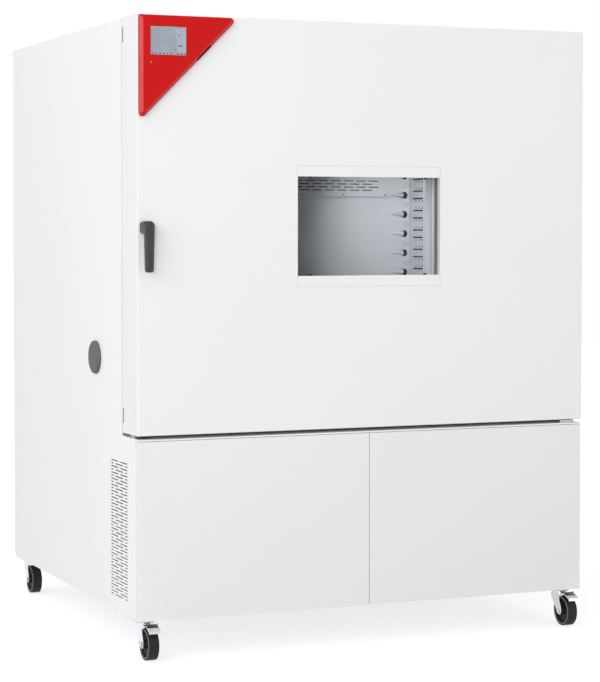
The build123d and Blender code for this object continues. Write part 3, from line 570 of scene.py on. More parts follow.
def new_piece(name: str, mesh: bmesh.types.BMesh, smooth: bool = False) -> bpy.types.Object:
    """Turn a bmesh into an object of the scene.

    Args:
        name: the object's name.
        mesh: the filled bmesh, which is freed.
        smooth: whether faces are shaded smooth.

    Returns:
        The object.
    """
    data = bpy.data.meshes.new(name)
    bmesh.ops.recalc_face_normals(mesh, faces=mesh.faces)
    mesh.to_mesh(data)
    mesh.free()
    if smooth:
        data.shade_smooth()
        data.set_sharp_from_angle(angle=math.radians(32))
    piece = bpy.data.objects.new(name, data)
    bpy.context.scene.collection.objects.link(piece)
    return piece


def add_slab(mesh: bmesh.types.BMesh, low: Point, high: Point, bevel: float = 0.0) -> None:
    """Add a six-sided slab, with its edges rounded when a bevel is given.

    Args:
        mesh: the bmesh to add to.
        low: lowest corner.
        high: highest corner.
        bevel: width of the rounded edges.
    """
    verts = [mesh.verts.new(corner) for corner in product(*zip(low, high))]
    rings = ((0, 1, 3, 2), (4, 6, 7, 5), (0, 4, 5, 1), (2, 3, 7, 6), (0, 2, 6, 4), (1, 5, 7, 3))
    faces = [mesh.faces.new([verts[index] for index in ring]) for ring in rings]
    if bevel:
        edges = list({edge for face in faces for edge in face.edges})
        bmesh.ops.bevel(mesh, geom=edges, offset=bevel, segments=2, affect="EDGES", profile=0.6)


def add_turned(
    mesh: bmesh.types.BMesh, centre: Point, axis: Point, profile: Sequence[tuple[float, float]], sides: int
) -> None:
    """Add a turned form.

    Args:
        mesh: the bmesh to add to.
        centre: point on the axis where the profile starts.
        axis: direction in which the profile rises.
        profile: pairs of radius and distance along the axis.
        sides: number of facets round the axis.
    """
    turn = Vector((0, 0, 1)).rotation_difference(Vector(axis)).to_matrix().to_4x4()
    place = Matrix.Translation(centre) @ turn
    rings = []
    for radius, rise in profile:
        if radius == 0:
            rings.append([mesh.verts.new(place @ Vector((0, 0, rise)))])
            continue
        angles = (2 * math.pi * side / sides for side in range(sides))
        rings.append([
            mesh.verts.new(place @ Vector((radius * math.cos(a), radius * math.sin(a), rise))) for a in angles
        ])
    for lower, upper in zip(rings, rings[1:]):
        for side in range(sides):
            after = (side + 1) % sides
            if len(lower) == 1:
                mesh.faces.new((lower[0], upper[side], upper[after]))
            elif len(upper) == 1:
                mesh.faces.new((lower[side], lower[after], upper[0]))
            else:
                mesh.faces.new((lower[side], lower[after], upper[after], upper[side]))


def add_screw(mesh: bmesh.types.BMesh, centre: Point, axis: Point, radius: float, height: float) -> None:
    """Add a domed screw head with a six-sided socket.

    Args:
        mesh: the bmesh to add to.
        centre: middle of the seat.
        axis: direction that the head faces.
        radius: head radius.
        height: head height.
    """
    head = [(radius, 0.0), (radius, height * 0.35), (radius * 0.85, height * 0.8), (radius * 0.55, height)]
    add_turned(mesh, centre, axis, head, 18)
    floor = height * 0.3
    socket = [(radius * 0.55, height), (radius * 0.45, height * 0.96), (radius * 0.42, floor), (0, floor)]
    add_turned(mesh, centre, axis, socket, 6)


def screw_set(
    name: str, places: Iterable[Point], axis: Point, radius: float, height: float, finish: Finish, body: Body
) -> bpy.types.Object:
    """Make a set of equal screws as one piece.

    Args:
        name: the object's name.
        places: seat centres.
        axis: direction that the heads face.
        radius: head radius.
        height: head height.
        finish: the screws' finish.
        body: the body that they ride on.

    Returns:
        The piece.
    """
    mesh = bmesh.new()
    for place in places:
        add_screw(mesh, place, axis, radius, height)
    return mounted(new_piece(name, mesh, smooth=True), finish, body)


def mounted(piece: bpy.types.Object, finish: object, body: Body) -> bpy.types.Object:
    """Give a piece its finish and fix it to a body.

    Args:
        piece: the object.
        finish: a finish with a build method.
        body: the body to ride on.

    Returns:
        The same object.
    """
    piece.data.materials.append(finish.build())
    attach(piece, body.value)
    return piece


def slab_piece(
    name: str, slabs: Iterable[Slab], finish: object, body: Body, bevel: float = 0.0
) -> bpy.types.Object:
    """Make a mounted piece from slabs.

    Args:
        name: the object's name.
        slabs: lowest and highest corner of each slab.
        finish: a finish with a build method.
        body: the body to ride on.
        bevel: width of the rounded edges.

    Returns:
        The piece.
    """
    mesh = bmesh.new()
    for low, high in slabs:
        add_slab(mesh, low, high, bevel)
    return mounted(new_piece(name, mesh), finish, body)


def dress(finish: object, *nodes: str) -> None:
    """Give CAD nodes a finish.

    Args:
        finish: a finish with a build method.
        *nodes: the nodes' names.
    """
    material = finish.build()
    for node in nodes:
        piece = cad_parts[node]
        if not piece.material_slots:
            piece.data.materials.append(material)
        for slot in piece.material_slots:
            slot.material = material
        log.info("dressed %s with %s", node, material.name)


def hang_lamp(name: str, kind: str, place: Point, aim: Point, power: float) -> bpy.types.Light:
    """Hang a lamp that faces a point.

    Args:
        name: the lamp's name.
        kind: Blender's lamp type.
        place: where it hangs.
        aim: the point that it faces.
        power: its strength in watts.

    Returns:
        The lamp's data, for its size.
    """
    lamp = bpy.data.lights.new(name, kind)
    lamp.energy = power
    holder = bpy.data.objects.new(name, lamp)
    holder.location = place
    holder.rotation_euler = (Vector(aim) - Vector(place)).to_track_quat("-Z", "Y").to_euler()
    bpy.context.scene.collection.objects.link(holder)
    return lamp


# Finishes

WHITE_COAT = Finish(
    "white_powder_coat", (0.875, 0.873, 0.870), (0.825, 0.823, 0.820), coat_grain_group, 0.46, 380.0, 0.00006
)
DOOR_COAT = Finish(
    "door_powder_coat", (0.836, 0.832, 0.828), (0.786, 0.782, 0.778), coat_grain_group, 0.46, 380.0, 0.00006
)
PANEL_COAT = Finish(
    "panel_powder_coat", (0.812, 0.809, 0.805), (0.762, 0.759, 0.755), coat_grain_group, 0.48, 380.0, 0.00006
)
GREY_COAT = Finish("cabinet_grey_coat", (0.30, 0.31, 0.33), (0.25, 0.26, 0.27), coat_grain_group, 0.45, 600.0)
BLACK_ENAMEL = Finish("black_enamel", (0.025, 0.025, 0.028), (0.05, 0.05, 0.05), coat_grain_group, 0.3, 300.0)
STAINLESS_FLAT = Finish(
    "brushed_stainless", (0.62, 0.61, 0.59), (0.48, 0.475, 0.46), brushed_group, 0.26, 700.0, 0.00004, 1.0,
    anisotropy=0.4,
)
STAINLESS_SIDE = Finish(
    "brushed_stainless_side", (0.64, 0.63, 0.61), (0.50, 0.49, 0.475), brushed_group, 0.28, 700.0, 0.00004,
    1.0, anisotropy=0.4, grain=Grain.DEEP,
)
CHAMBER_WALL = Finish(
    "chamber_wall_sheet", (0.70, 0.715, 0.735), (0.62, 0.635, 0.655), brushed_group, 0.40, 700.0, 0.00003,
    0.45, anisotropy=0.3,
)
CHAMBER_SIDE = Finish(
    "chamber_side_sheet", (0.72, 0.735, 0.76), (0.62, 0.635, 0.66), brushed_group, 0.42, 700.0, 0.00003, 0.3,
    anisotropy=0.3, grain=Grain.DEEP,
)
RACK_STEEL = Finish(
    "rack_steel", (0.80, 0.83, 0.87), (0.70, 0.73, 0.77), brushed_group, 0.34, 800.0, 0.00003, 0.3,
    anisotropy=0.3, grain=Grain.UPRIGHT,
)
TUNNEL_WALL = Finish(
    "tunnel_wall", (0.84, 0.87, 0.90), (0.76, 0.79, 0.82), brushed_group, 0.34, 500.0, 0.00003, 0.1,
    anisotropy=0.2, grain=Grain.UPRIGHT,
)
SEAM_SEAL = Finish(
    "seam_seal", (0.70, 0.70, 0.70), (0.64, 0.64, 0.64), mould_grain_group, 0.6, 900.0, 0.00005
)
TRIM_LINE = Finish(
    "trim_line", (0.56, 0.56, 0.56), (0.50, 0.50, 0.50), mould_grain_group, 0.6, 900.0, 0.00003
)
HOLE_SHADE = Finish("hole_shade", (0.010, 0.010, 0.011), (0.018, 0.018, 0.019), mould_grain_group, 0.9, 900.0)
ANODISED = Finish(
    "anodised_aluminium", (0.78, 0.79, 0.80), (0.66, 0.67, 0.68), brushed_group, 0.24, 500.0, 0.00003, 1.0,
    anisotropy=0.3,
)
CHROME = Finish(
    "bright_chrome", (0.80, 0.80, 0.81), (0.70, 0.70, 0.71), brushed_group, 0.10, 120.0, 0.00002, 1.0
)
ZINC_PLATE = Finish(
    "zinc_plate", (0.62, 0.63, 0.62), (0.42, 0.43, 0.44), brushed_group, 0.30, 160.0, 0.00005, 0.9
)
FOAM = Finish("rigid_foam", (0.62, 0.52, 0.28), (0.52, 0.42, 0.22), mould_grain_group, 0.8, 700.0, 0.0004)
SILICONE = Finish(
    "silicone_seal", (0.50, 0.50, 0.49), (0.42, 0.42, 0.42), mould_grain_group, 0.5, 800.0, 0.00008
)
# Near-black dots for the spacer's breathing holes: painted shade.
SPACER_HOLE_SHADE = Finish(
    "spacer_hole_shade", (0.012, 0.012, 0.013), (0.03, 0.03, 0.03), mould_grain_group, 0.55, 1100.0
)
RED_HOUSING = Finish(
    "red_housing", (0.56, 0.006, 0.006), (0.50, 0.005, 0.005), mould_grain_group, 0.30, 1300.0, 0.00002,
    specular=0.10,
)
# Lighter copy of the red housing for its sideways-facing bevel faces: painted sheen.
RED_SHEEN = Finish(
    "red_housing_painted_sheen", (0.56, 0.018, 0.018), (0.50, 0.014, 0.014), mould_grain_group, 0.20, 1300.0, 0.00001,
    specular=0.4,
)
# Dark red for the sunk socket slot: painted shadow.
RED_SHADOW_LINE = Finish(
    "red_shadow_line", (0.26, 0.004, 0.004), (0.22, 0.004, 0.004), mould_grain_group, 0.6, 1300.0, 0.00003,
    specular=0.05,
)
HANDLE_GREY = Finish(
    "handle_plastic", (0.022, 0.023, 0.024), (0.034, 0.035, 0.037), mould_grain_group, 0.30, 1500.0, 0.00004
)
PLUG_GREY = Finish("plug_silicone", (0.10, 0.105, 0.11), (0.13, 0.135, 0.14), mould_grain_group, 0.6, 900.0)
FITTING_BLACK = Finish(
    "fitting_plastic", (0.02, 0.02, 0.022), (0.04, 0.04, 0.04), mould_grain_group, 0.45, 1200.0
)
SPACER_GREY = Finish("window_spacer", (0.22, 0.225, 0.23), (0.18, 0.185, 0.19), mould_grain_group, 0.5, 900.0)
# Its second colour is the painted shade between the fins.
COIL_FINS = Finish("coil_fins", (0.68, 0.68, 0.67), (0.08, 0.08, 0.08), fin_group, 0.35, 0.0028, 0.0008, 0.9)
SCREEN_FACE = GlowFinish("screen_face", (0.30, 0.34, 0.40), 0.2)
SCREEN_BAR = GlowFinish("screen_bar", (0.33, 0.37, 0.42), 0.22)
SCREEN_GRID = GlowFinish("screen_grid", (0.19, 0.22, 0.26), 0.15)
SCREEN_ICON = GlowFinish("screen_icon", (0.05, 0.06, 0.09), 0.02)
SCREEN_TRACE = GlowFinish("screen_trace", (0.16, 0.07, 0.30), 0.1)
SCREEN_LIMIT = GlowFinish("screen_limit", (0.50, 0.24, 0.06), 0.1)
LAMP_LENS = GlowFinish("lamp_lens", (0.26, 0.26, 0.03), 0.08)


@dataclass
class Cabinet:
    """Insulated body with its machine base: sheets, liner, machinery and small fasteners."""

    screw_radius: float = 0.0045
    screw_height: float = 0.0028
    rear_rows: int = 7
    rear_columns: int = 4
    rear_margin: float = 0.018

    def dress(self) -> None:
        """Give every node of the cabinet its finish."""
        dress(WHITE_COAT, "side_panel_left", "side_panel_right", "lower_side_left", "lower_side_right")
        dress(WHITE_COAT, "rear_panel", "lower_rear_panel", "top_panel", "top_rail")
        dress(PANEL_COAT, "front_panel_left", "front_panel_right")
        dress(ZINC_PLATE, "base_tray", "deck_plate", "door_rest", "caster_plates")
        dress(ZINC_PLATE, "hinge_bracket_top", "hinge_bracket_bottom")
        dress(STAINLESS_FLAT, "front_frame", "strike_plate", "shelf")
        dress(CHAMBER_WALL, "rear_baffle", "fan_cover")
        dress(CHAMBER_SIDE, "side_duct_left", "side_duct_right")
        dress(STAINLESS_SIDE, "chamber_liner", "port_tube", "heater")
        dress(RACK_STEEL, "rack_uprights")
        dress(FOAM, "foam_body")
        dress(BLACK_ENAMEL, "fan_motor", "compressor", "condenser_fan")
        dress(COIL_FINS, "condenser", "evaporator")
        dress(GREY_COAT, "control_cabinet")
        dress(FITTING_BLACK, "rear_fittings")
        dress(ANODISED, "circulation_fan")

    def build(self) -> None:
        """Add the screws round the two rear sheets."""
        for node in ("rear_panel", "lower_rear_panel"):
            low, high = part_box(node)
            left, right = low.x + self.rear_margin, high.x - self.rear_margin
            bottom, top = low.z + self.rear_margin, high.z - self.rear_margin
            rise = high.z - low.z - 2 * self.rear_margin
            places = []
            for row in range(self.rear_rows):
                level = bottom + rise * row / (self.rear_rows - 1)
                places += [(left, high.y, level), (right, high.y, level)]
            for column in range(1, self.rear_columns):
                across = left + (right - left) * column / self.rear_columns
                places += [(across, high.y, bottom), (across, high.y, top)]
            name = f"{node}_screws"
            screw_set(name, places, (0, 1, 0), self.screw_radius, self.screw_height, ZINC_PLATE, Body.CABINET)


@dataclass
class TestSpace:
    """Inside of the chamber: screws, painted shade behind openings and in the mouths of the air guides,
    painted shadow lines along the beads and beside the nozzles, and the lamp.
    """

    screw_radius: float = 0.004
    screw_height: float = 0.0022
    screw_pitch: float = 0.168
    screw_start: float = 0.93
    screw_inset: float = 0.007
    sheet_wall: float = 0.0015
    film: float = 0.0005
    duct_face: float = 0.600
    # Share of the cover, and run along the left wall, that the painted-shade sheets cover.
    cover_shade_share: float = 0.2
    left_shade_run: float = 0.2
    bead_level: float = 1.471
    bead_pitch: float = 0.072
    beads_below: int = 8
    beads_above: int = 6
    bead_half: float = 0.011
    # Height of each painted shadow line beside a bead.
    bead_shadow_width: float = 0.0052
    bead_start: float = 0.031
    bead_run: float = 0.618
    port_bottom: float = 0.86
    port_top: float = 0.99
    nozzle_end: float = 0.583
    nozzle_radius: float = 0.011
    mouth_growth: float = 1.15
    mouth_length: float = 0.017
    mouth_sink: float = 0.8
    mouth_shape: tuple[tuple[float, float], ...] = (
        (0.95, 0.0),
        (1.0, 0.3),
        (0.96, 0.75),
        (0.6, 1.0),
        (0.0, 1.0),
    )
    mouth_sides: int = 20
    # Size of the flattened dark cone that is the painted shadow of each nozzle on the back wall.
    shadow_growth: float = 1.2
    shadow_tip: float = 0.001
    shadow_run: float = 0.052
    shadow_end: float = 0.002
    shadow_depth: float = 0.16
    ring_radius: float = 0.0085
    ring_bore: float = 0.8
    ring_sides: int = 24
    ring_height: float = 0.0007
    ring_across: float = 0.5865
    corner_strip: tuple[float, float] = (0.5985, 0.5999)
    strip_height: float = 0.0006
    strip_inset: float = 0.002
    lamp_power: float = 14.0
    lamp_radius: float = 0.03
    lamp_place: Point = (0.20, -0.40, 1.70)
    lamp_aim: Point = (0.60, 0.16, 1.30)
    lamp_spread_deg: float = 70.0

    def build(self) -> None:
        """Add the fan cover's screws, painted shade behind openings, along the beads and in the nozzle
        mouths, painted shadows beside the nozzles, and the lamp.
        """
        self.build_screws()
        self.build_shades()
        self.build_bead_shadow_lines()
        self.build_nozzle_shade()
        self.build_lamp()

    def levels(self) -> list[float]:
        """List the heights of the beads and nozzles that lie inside the test space."""
        low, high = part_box("side_duct_right")
        steps = range(-self.beads_below, self.beads_above)
        levels = (self.bead_level + self.bead_pitch * step for step in steps)
        bottom, top = low.z + self.bead_pitch / 2, high.z - 2 * self.bead_half
        return [level for level in levels if bottom < level < top]

    def build_screws(self) -> None:
        """Add the screws of the fan cover."""
        low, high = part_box("fan_cover")
        count = int((high.x - low.x) / self.screw_pitch / 2)
        columns = [self.screw_pitch * (step + self.screw_start) for step in range(count)]
        rows = (low.z + self.screw_inset, high.z - self.screw_inset)
        places = [(side * across, low.y, level) for side, across, level in product((-1, 1), columns, rows)]
        name = "fan_cover_screws"
        screw_set(name, places, (0, -1, 0), self.screw_radius, self.screw_height, GREY_COAT, Body.CABINET)

    def build_shades(self) -> None:
        """Put near-black sheets behind the slots of the fan cover and the holes of the side walls: painted
        shade for the dark spaces behind them.
        """
        low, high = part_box("fan_cover")
        margin = 4 * self.sheet_wall
        near = low.y + 2 * self.sheet_wall
        top = low.z + self.cover_shade_share * (high.z - low.z)
        # Painted shade: a dark sheet just behind the cover's slots.
        screen = ((low.x + margin, near, low.z + margin), (high.x - margin, near + self.film, top))
        slab_piece("cover_shade_sheet", [screen], HOLE_SHADE, Body.CABINET)
        face = self.duct_face + 1.5 * self.sheet_wall
        for name, side in (("left", -1), ("right", 1)):
            low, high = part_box(f"side_duct_{name}")
            near, far = sorted((side * face, side * (face + self.film)))
            start = low.y + margin if side > 0 else high.y - self.left_shade_run
            screen = ((near, start, low.z + margin), (far, high.y - margin, high.z - margin))
            slab_piece(f"duct_shade_sheet_{name}", [screen], HOLE_SHADE, Body.CABINET)

    def build_bead_shadow_lines(self) -> None:
        """Add thin dark lines above and below each pressed bead, clear of the access port: painted shadow
        along the bead's edges.
        """
        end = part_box("fan_cover")[1].y - self.bead_start
        start = end - self.bead_run
        # Painted shadow: one dark line above and one below each bead.
        slots = []
        for side, level, way in product((-1, 1), self.levels(), (-1, 1)):
            near, far = sorted(side * (self.duct_face - gap) for gap in (self.film, self.film / 5))
            first = level + way * self.bead_half
            bottom, top = sorted((first, first + way * self.bead_shadow_width))
            if side > 0 or bottom >= self.port_top or top <= self.port_bottom:
                slots.append(((near, start, bottom), (far, end, top)))
        slab_piece("bead_shadow_lines", slots, HOLE_SHADE, Body.CABINET)

    def build_nozzle_shade(self) -> None:
        """Add painted shade in the mouths of the nozzles, a flat painted shadow beside each nozzle, and the
        rings beside the corners.
        """
        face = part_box("fan_cover")[1].y
        low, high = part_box("rear_baffle")
        mouths = bmesh.new()
        rings = bmesh.new()
        wide = self.nozzle_radius * self.mouth_growth
        reach = self.mouth_length
        cap = [(wide * radius, reach * rise) for radius, rise in self.mouth_shape]
        shadow_cone = [(self.shadow_tip, 0.0), (self.nozzle_radius * self.shadow_growth, self.shadow_run)]
        shadow_cone.append((0, self.shadow_run + self.shadow_end))
        outer, inner = self.ring_radius, self.ring_radius * self.ring_bore
        ring = [(outer, 0.0), (outer, self.ring_height), (inner, self.ring_height), (inner, 0.0)]
        for side in (-1, 1):
            for level in self.levels():
                # A dark cap in each nozzle's mouth: painted shade.
                start = side * (self.nozzle_end - reach * self.mouth_sink)
                add_turned(mouths, (start, face, level), (side, 0, 0), cap, self.mouth_sides)
                before = len(mouths.verts)
                # A flattened dark cone along each nozzle: painted shadow on the back wall.
                start = side * (self.nozzle_end - self.shadow_run)
                add_turned(mouths, (start, face, level), (side, 0, 0), shadow_cone, self.mouth_sides)
                mouths.verts.ensure_lookup_table()
                for vert in mouths.verts[before:]:
                    vert.co.y = face + (vert.co.y - face) * self.shadow_depth
                centre = (side * self.ring_across, face, level + self.bead_pitch / 2)
                add_turned(rings, centre, (0, -1, 0), ring, self.ring_sides)
            near, far = sorted(side * across for across in self.corner_strip)
            bottom, top = low.z + self.strip_inset, high.z - self.strip_inset
            add_slab(rings, (near, face - self.strip_height, bottom), (far, face, top))
        everything = mouths.verts[:] + mouths.edges[:] + mouths.faces[:]
        bmesh.ops.bisect_plane(
            mouths, geom=everything, plane_co=(0, face, 0), plane_no=(0, 1, 0), clear_outer=True
        )
        mounted(new_piece("nozzle_mouth_shade", mouths, smooth=True), HOLE_SHADE, Body.CABINET)
        mounted(new_piece("corner_rings", rings), GREY_COAT, Body.CABINET)

    def build_lamp(self) -> None:
        """Hang the lamp of the test space above the window's view."""
        lamp = hang_lamp("test_space_lamp", "SPOT", self.lamp_place, self.lamp_aim, self.lamp_power)
        lamp.shadow_soft_size = self.lamp_radius
        lamp.spot_size = math.radians(self.lamp_spread_deg)
        lamp.spot_blend = 1.0


@dataclass
class Door:
    """Insulated door with its window, seal, control housing and screen."""

    trim_depth: float = 0.0006
    spacer_wall: float = 0.002
    spacer_start: float = 0.006
    spacer_run: float = 0.019
    hole_radius: float = 0.0022
    hole_height: float = 0.0003
    hole_sides: int = 12
    hole_pitch: float = 0.030
    clip_size: Point = (0.010, 0.006, 0.006)
    clip_across: float = 0.205
    clip_bevel: float = 0.001
    window_bar: float = 0.035
    joint_width: float = 0.0011
    joint_height: float = 0.0003
    joint_run: float = 0.037
    seal_gap: float = 0.0015
    seal_clearance: float = 0.0002
    seal_inset: float = 0.0012
    seal_lip: float = 0.014
    hinge_margin: float = 0.09
    slit_levels: tuple[float, float] = (0.733, 1.929)
    slit_depth: float = 0.0125
    slit_height: float = 0.0457
    slit_width: float = 0.0107
    slit_inset: float = 0.002
    slit_end: float = 0.0117
    slit_film: float = 0.0003
    screen_film: float = 0.0001
    face_film: float = 0.0003
    screen_rim: float = 0.0004
    screen_sink: float = 0.001
    bevel_width: float = 0.0105
    bevel_depth: float = 0.0085
    bevel_shape: tuple[tuple[float, float], ...] = ((0.0, 1.0), (0.12, 0.82), (0.88, 0.12))
    sheen_slope: float = 1.5
    housing_corner: float = 0.002
    corner_growth: float = 0.4
    housing_tip: float = 0.0115
    tip_narrowing: float = 0.8
    tip_growth: float = 0.015
    tip_steps: int = 8
    tip_slope: float = 2.414
    slot_start: float = 0.266
    slot_length: float = 0.072
    slot_slant: float = 0.004
    slot_rise: float = 0.6
    slot_lift: float = 0.0005
    slot_wall: float = 0.0004
    slot_back: float = 0.004

    def dress(self) -> None:
        """Give every node of the door its finish."""
        dress(DOOR_COAT, "door_shell", "window_frame")
        dress(FOAM, "door_foam")
        dress(STAINLESS_FLAT, "door_liner")
        dress(SILICONE, "door_gasket")
        dress(TUNNEL_WALL, "window_tunnel")
        dress(PaneGlass(), "window_panes")
        dress(RED_HOUSING, "control_housing")
        dress(SCREEN_FACE, "display")
        dress(LAMP_LENS, "status_lamp")
        dress(FITTING_BLACK, "hinge_bushes")

    def build(self) -> None:
        """Add the window's trim and spacer, the seal, the housing with its slot and the screen picture."""
        self.build_spacer()
        self.build_clips()
        self.build_trim_lines()
        self.build_seam_seal()
        self.build_slit_shade()
        self.build_housing()
        self.build_screen()
        self.build_port_slot()

    def build_spacer(self) -> None:
        """Line the window tunnel with the grey spacer strip and its round breathing holes, drawn as dark dots
        of painted shade.
        """
        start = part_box("window_tunnel")[0].y + self.spacer_start
        end = start + self.spacer_run
        glass_low, glass_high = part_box("window_frame")
        left, right = glass_low.x + self.spacer_wall, glass_high.x - self.spacer_wall
        bottom, top = glass_low.z + self.spacer_wall, glass_high.z - self.spacer_wall
        strips = [
            ((left, start, bottom), (left + self.trim_depth, end, top)),
            ((right - self.trim_depth, start, bottom), (right, end, top)),
            ((left, start, bottom), (right, end, bottom + self.trim_depth)),
            ((left, start, top - self.trim_depth), (right, end, top)),
        ]
        slab_piece("window_spacer", strips, SPACER_GREY, Body.DOOR)
        holes = bmesh.new()
        middle = (start + end) / 2
        dot = [(self.hole_radius, 0.0), (self.hole_radius, self.hole_height), (0, self.hole_height)]
        for row in range(int((top - bottom) / self.hole_pitch)):
            level = bottom + self.hole_pitch * (row + 0.5)
            for across, way in ((right - self.trim_depth, -1), (left + self.trim_depth, 1)):
                add_turned(holes, (across, middle, level), (way, 0, 0), dot, self.hole_sides)
        mounted(new_piece("spacer_holes", holes), SPACER_HOLE_SHADE, Body.DOOR)

    def build_clips(self) -> None:
        """Add the glazing clips behind the outer pane."""
        low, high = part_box("window_frame")
        width, depth, height = self.clip_size
        ends = ((low.z + self.window_bar, height), (high.z - self.window_bar, -height))
        clips = []
        for across, (level, rise) in product((-self.clip_across, self.clip_across), ends):
            bottom, top = sorted((level, level + rise))
            clips.append(((across - width / 2, high.y - depth, bottom), (across + width / 2, high.y, top)))
        slab_piece("glazing_clips", clips, FITTING_BLACK, Body.DOOR, self.clip_bevel)

    def build_trim_lines(self) -> None:
        """Draw the fine joint round the window's cover strips."""
        low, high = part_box("window_frame")
        near, width = low.y - self.joint_height, self.joint_width
        ends = ((low.z, low.z + self.joint_run), (high.z - self.joint_run, high.z))
        levels = (low.z, high.z - width)
        lines = [((low.x, near, bottom), (high.x, low.y, bottom + width)) for bottom in levels]
        for left, (bottom, top) in product((low.x, high.x - width), ends):
            lines.append(((left, near, bottom), (left + width, low.y, top)))
        slab_piece("window_joint", lines, TRIM_LINE, Body.DOOR)

    def build_seam_seal(self) -> None:
        """Fill the seam behind the door with its light lip seal."""
        low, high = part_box("door_shell")
        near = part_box("door_liner")[0].y + self.seal_gap
        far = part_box("front_frame")[0].y - self.seal_clearance
        inset, lip = self.seal_inset, self.seal_lip
        right = high.x - self.hinge_margin
        lips = [((low.x + inset, near, low.z + inset), (low.x + lip, far, high.z - inset))]
        for bottom in (low.z + inset, high.z - lip):
            lips.append(((low.x + lip, near, bottom), (right, far, bottom + lip - inset)))
        slab_piece("door_lip_seal", lips, SEAM_SEAL, Body.DOOR)

    def build_slit_shade(self) -> None:
        """Line the two narrow slits in the door's free side with near-black sheets: painted shade inside the
        slits.
        """
        low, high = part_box("door_shell")
        near = high.y - self.slit_depth - self.seal_clearance
        film = self.slit_film
        shade_sheets = []
        # Each slit gets a dark sheet: painted shade.
        for bottom in self.slit_levels:
            first = (low.x + self.slit_inset, near + film, bottom + film)
            last = (low.x + self.slit_end, near + self.slit_width, bottom + self.slit_height)
            shade_sheets.append((first, last))
        slab_piece("slit_shade_sheets", shade_sheets, HOLE_SHADE, Body.DOOR)

    def build_films(self, name: str, shares: Iterable[Share], finish: GlowFinish, layer: int) -> None:
        """Lay films over parts of the screen.

        Args:
            name: the piece's name.
            shares: left, bottom, right and top of each film, as shares of the screen's width and height.
            finish: the films' finish.
            layer: how many films thick the piece is.
        """
        low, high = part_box("display")
        width, height = high.x - low.x, high.z - low.z
        front = low.y - self.screen_film * layer
        films = []
        for left, bottom, right, top in shares:
            first = (low.x + left * width, front, low.z + bottom * height)
            films.append((first, (low.x + right * width, low.y, low.z + top * height)))
        slab_piece(name, films, finish, Body.DOOR)

    def build_screen(self) -> None:
        """Draw the screen's header, side bar, plot grid, trace marks and icons as thin raised films."""
        self.build_films("screen_bars", [(0, 0.955, 1, 1), (0.73, 0.08, 1, 0.955)], SCREEN_BAR, 1)
        uprights = [(0.015 + 0.072 * step, 0.09, 0.021 + 0.072 * step, 0.95) for step in range(10)]
        levels = [(0.015, 0.10 + 0.094 * step, 0.70, 0.107 + 0.094 * step) for step in range(10)]
        self.build_films("screen_grid_lines", uprights + levels, SCREEN_GRID, 1)
        icons = [(0.03 + 0.104 * step, 0.02, 0.075 + 0.104 * step, 0.065) for step in range(6)]
        icons += [(0.74, 0.02, 0.79, 0.065), (0.85, 0.02, 0.90, 0.065), (0.95, 0.02, 0.99, 0.065)]
        marks = [(0.73, 0.965, 0.755, 0.985), (0.81, 0.96, 0.86, 0.985), (0.93, 0.965, 0.96, 0.985)]
        note = [(0.77, 0.32, 0.91, 0.35), (0.82, 0.285, 0.87, 0.305)]
        self.build_films("screen_icons", icons + marks + note, SCREEN_ICON, 2)
        dots = [
            (0.78, 0.68, 0.83, 0.73), (0.69, 0.51, 0.73, 0.55), (0.69, 0.17, 0.73, 0.21),
            (0.59, 0.19, 0.615, 0.215),
        ]
        self.build_films("screen_trace_marks", dots, SCREEN_TRACE, 2)
        limits = [(0.49, 0.87, 0.525, 0.91), (0.70, 0.13, 0.735, 0.155)]
        self.build_films("screen_limit_marks", limits, SCREEN_LIMIT, 2)

    def housing_outline(self, inset: float) -> list[tuple[float, float]]:
        """Trace the housing's three-cornered outline with round tips.

        Args:
            inset: distance that the outline is drawn in from the widest one.

        Returns:
            Pairs of x and z, all round.
        """
        low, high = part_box("control_housing")
        reach = high.x - low.x + self.tip_growth
        tip = self.housing_tip - self.tip_narrowing * inset
        corners = (
            (Vector((low.x, high.z)), self.housing_corner + self.corner_growth * inset, Vector((1, -1))),
            (Vector((low.x, high.z - reach)), tip, Vector((1, self.tip_slope))),
            (Vector((low.x + reach, high.z)), tip, Vector((-self.tip_slope, -1))),
        )
        points = []
        for index, (corner, radius, inward) in enumerate(corners):
            before = (corners[index - 1][0] - corner).normalized()
            after = (corners[(index + 1) % 3][0] - corner).normalized()
            half = before.angle(after) / 2
            middle = inward.normalized()
            start = before / math.tan(half) - middle / math.sin(half)
            end = after / math.tan(half) - middle / math.sin(half)
            centre = corner + middle * ((radius + inset) / math.sin(half))
            for step in range(self.tip_steps + 1):
                spoke = start.slerp(end, step / self.tip_steps) * radius
                points.append((centre.x + spoke.x, centre.y + spoke.y))
        return points

    def build_housing(self) -> None:
        """Model the control housing with its wide bevel, whose sideways faces carry a painted sheen, and the
        sunk seat of the screen.
        """
        low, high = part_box("control_housing")
        face_level = low.y + self.face_film
        wide, fall = self.bevel_width, self.bevel_depth
        bevel = [(wide * inward, low.y + fall * share) for inward, share in self.bevel_shape]
        levels = [(0.0, high.y), *bevel, (wide, face_level)]
        mesh = bmesh.new()
        rings = [
            [mesh.verts.new((x, depth, z)) for x, z in self.housing_outline(inset)] for inset, depth in levels
        ]
        count = len(rings[0])
        for lower, upper in zip(rings, rings[1:]):
            for place in range(count):
                after = (place + 1) % count
                face = mesh.faces.new((lower[place], lower[after], upper[after], upper[place]))
                face.normal_update()
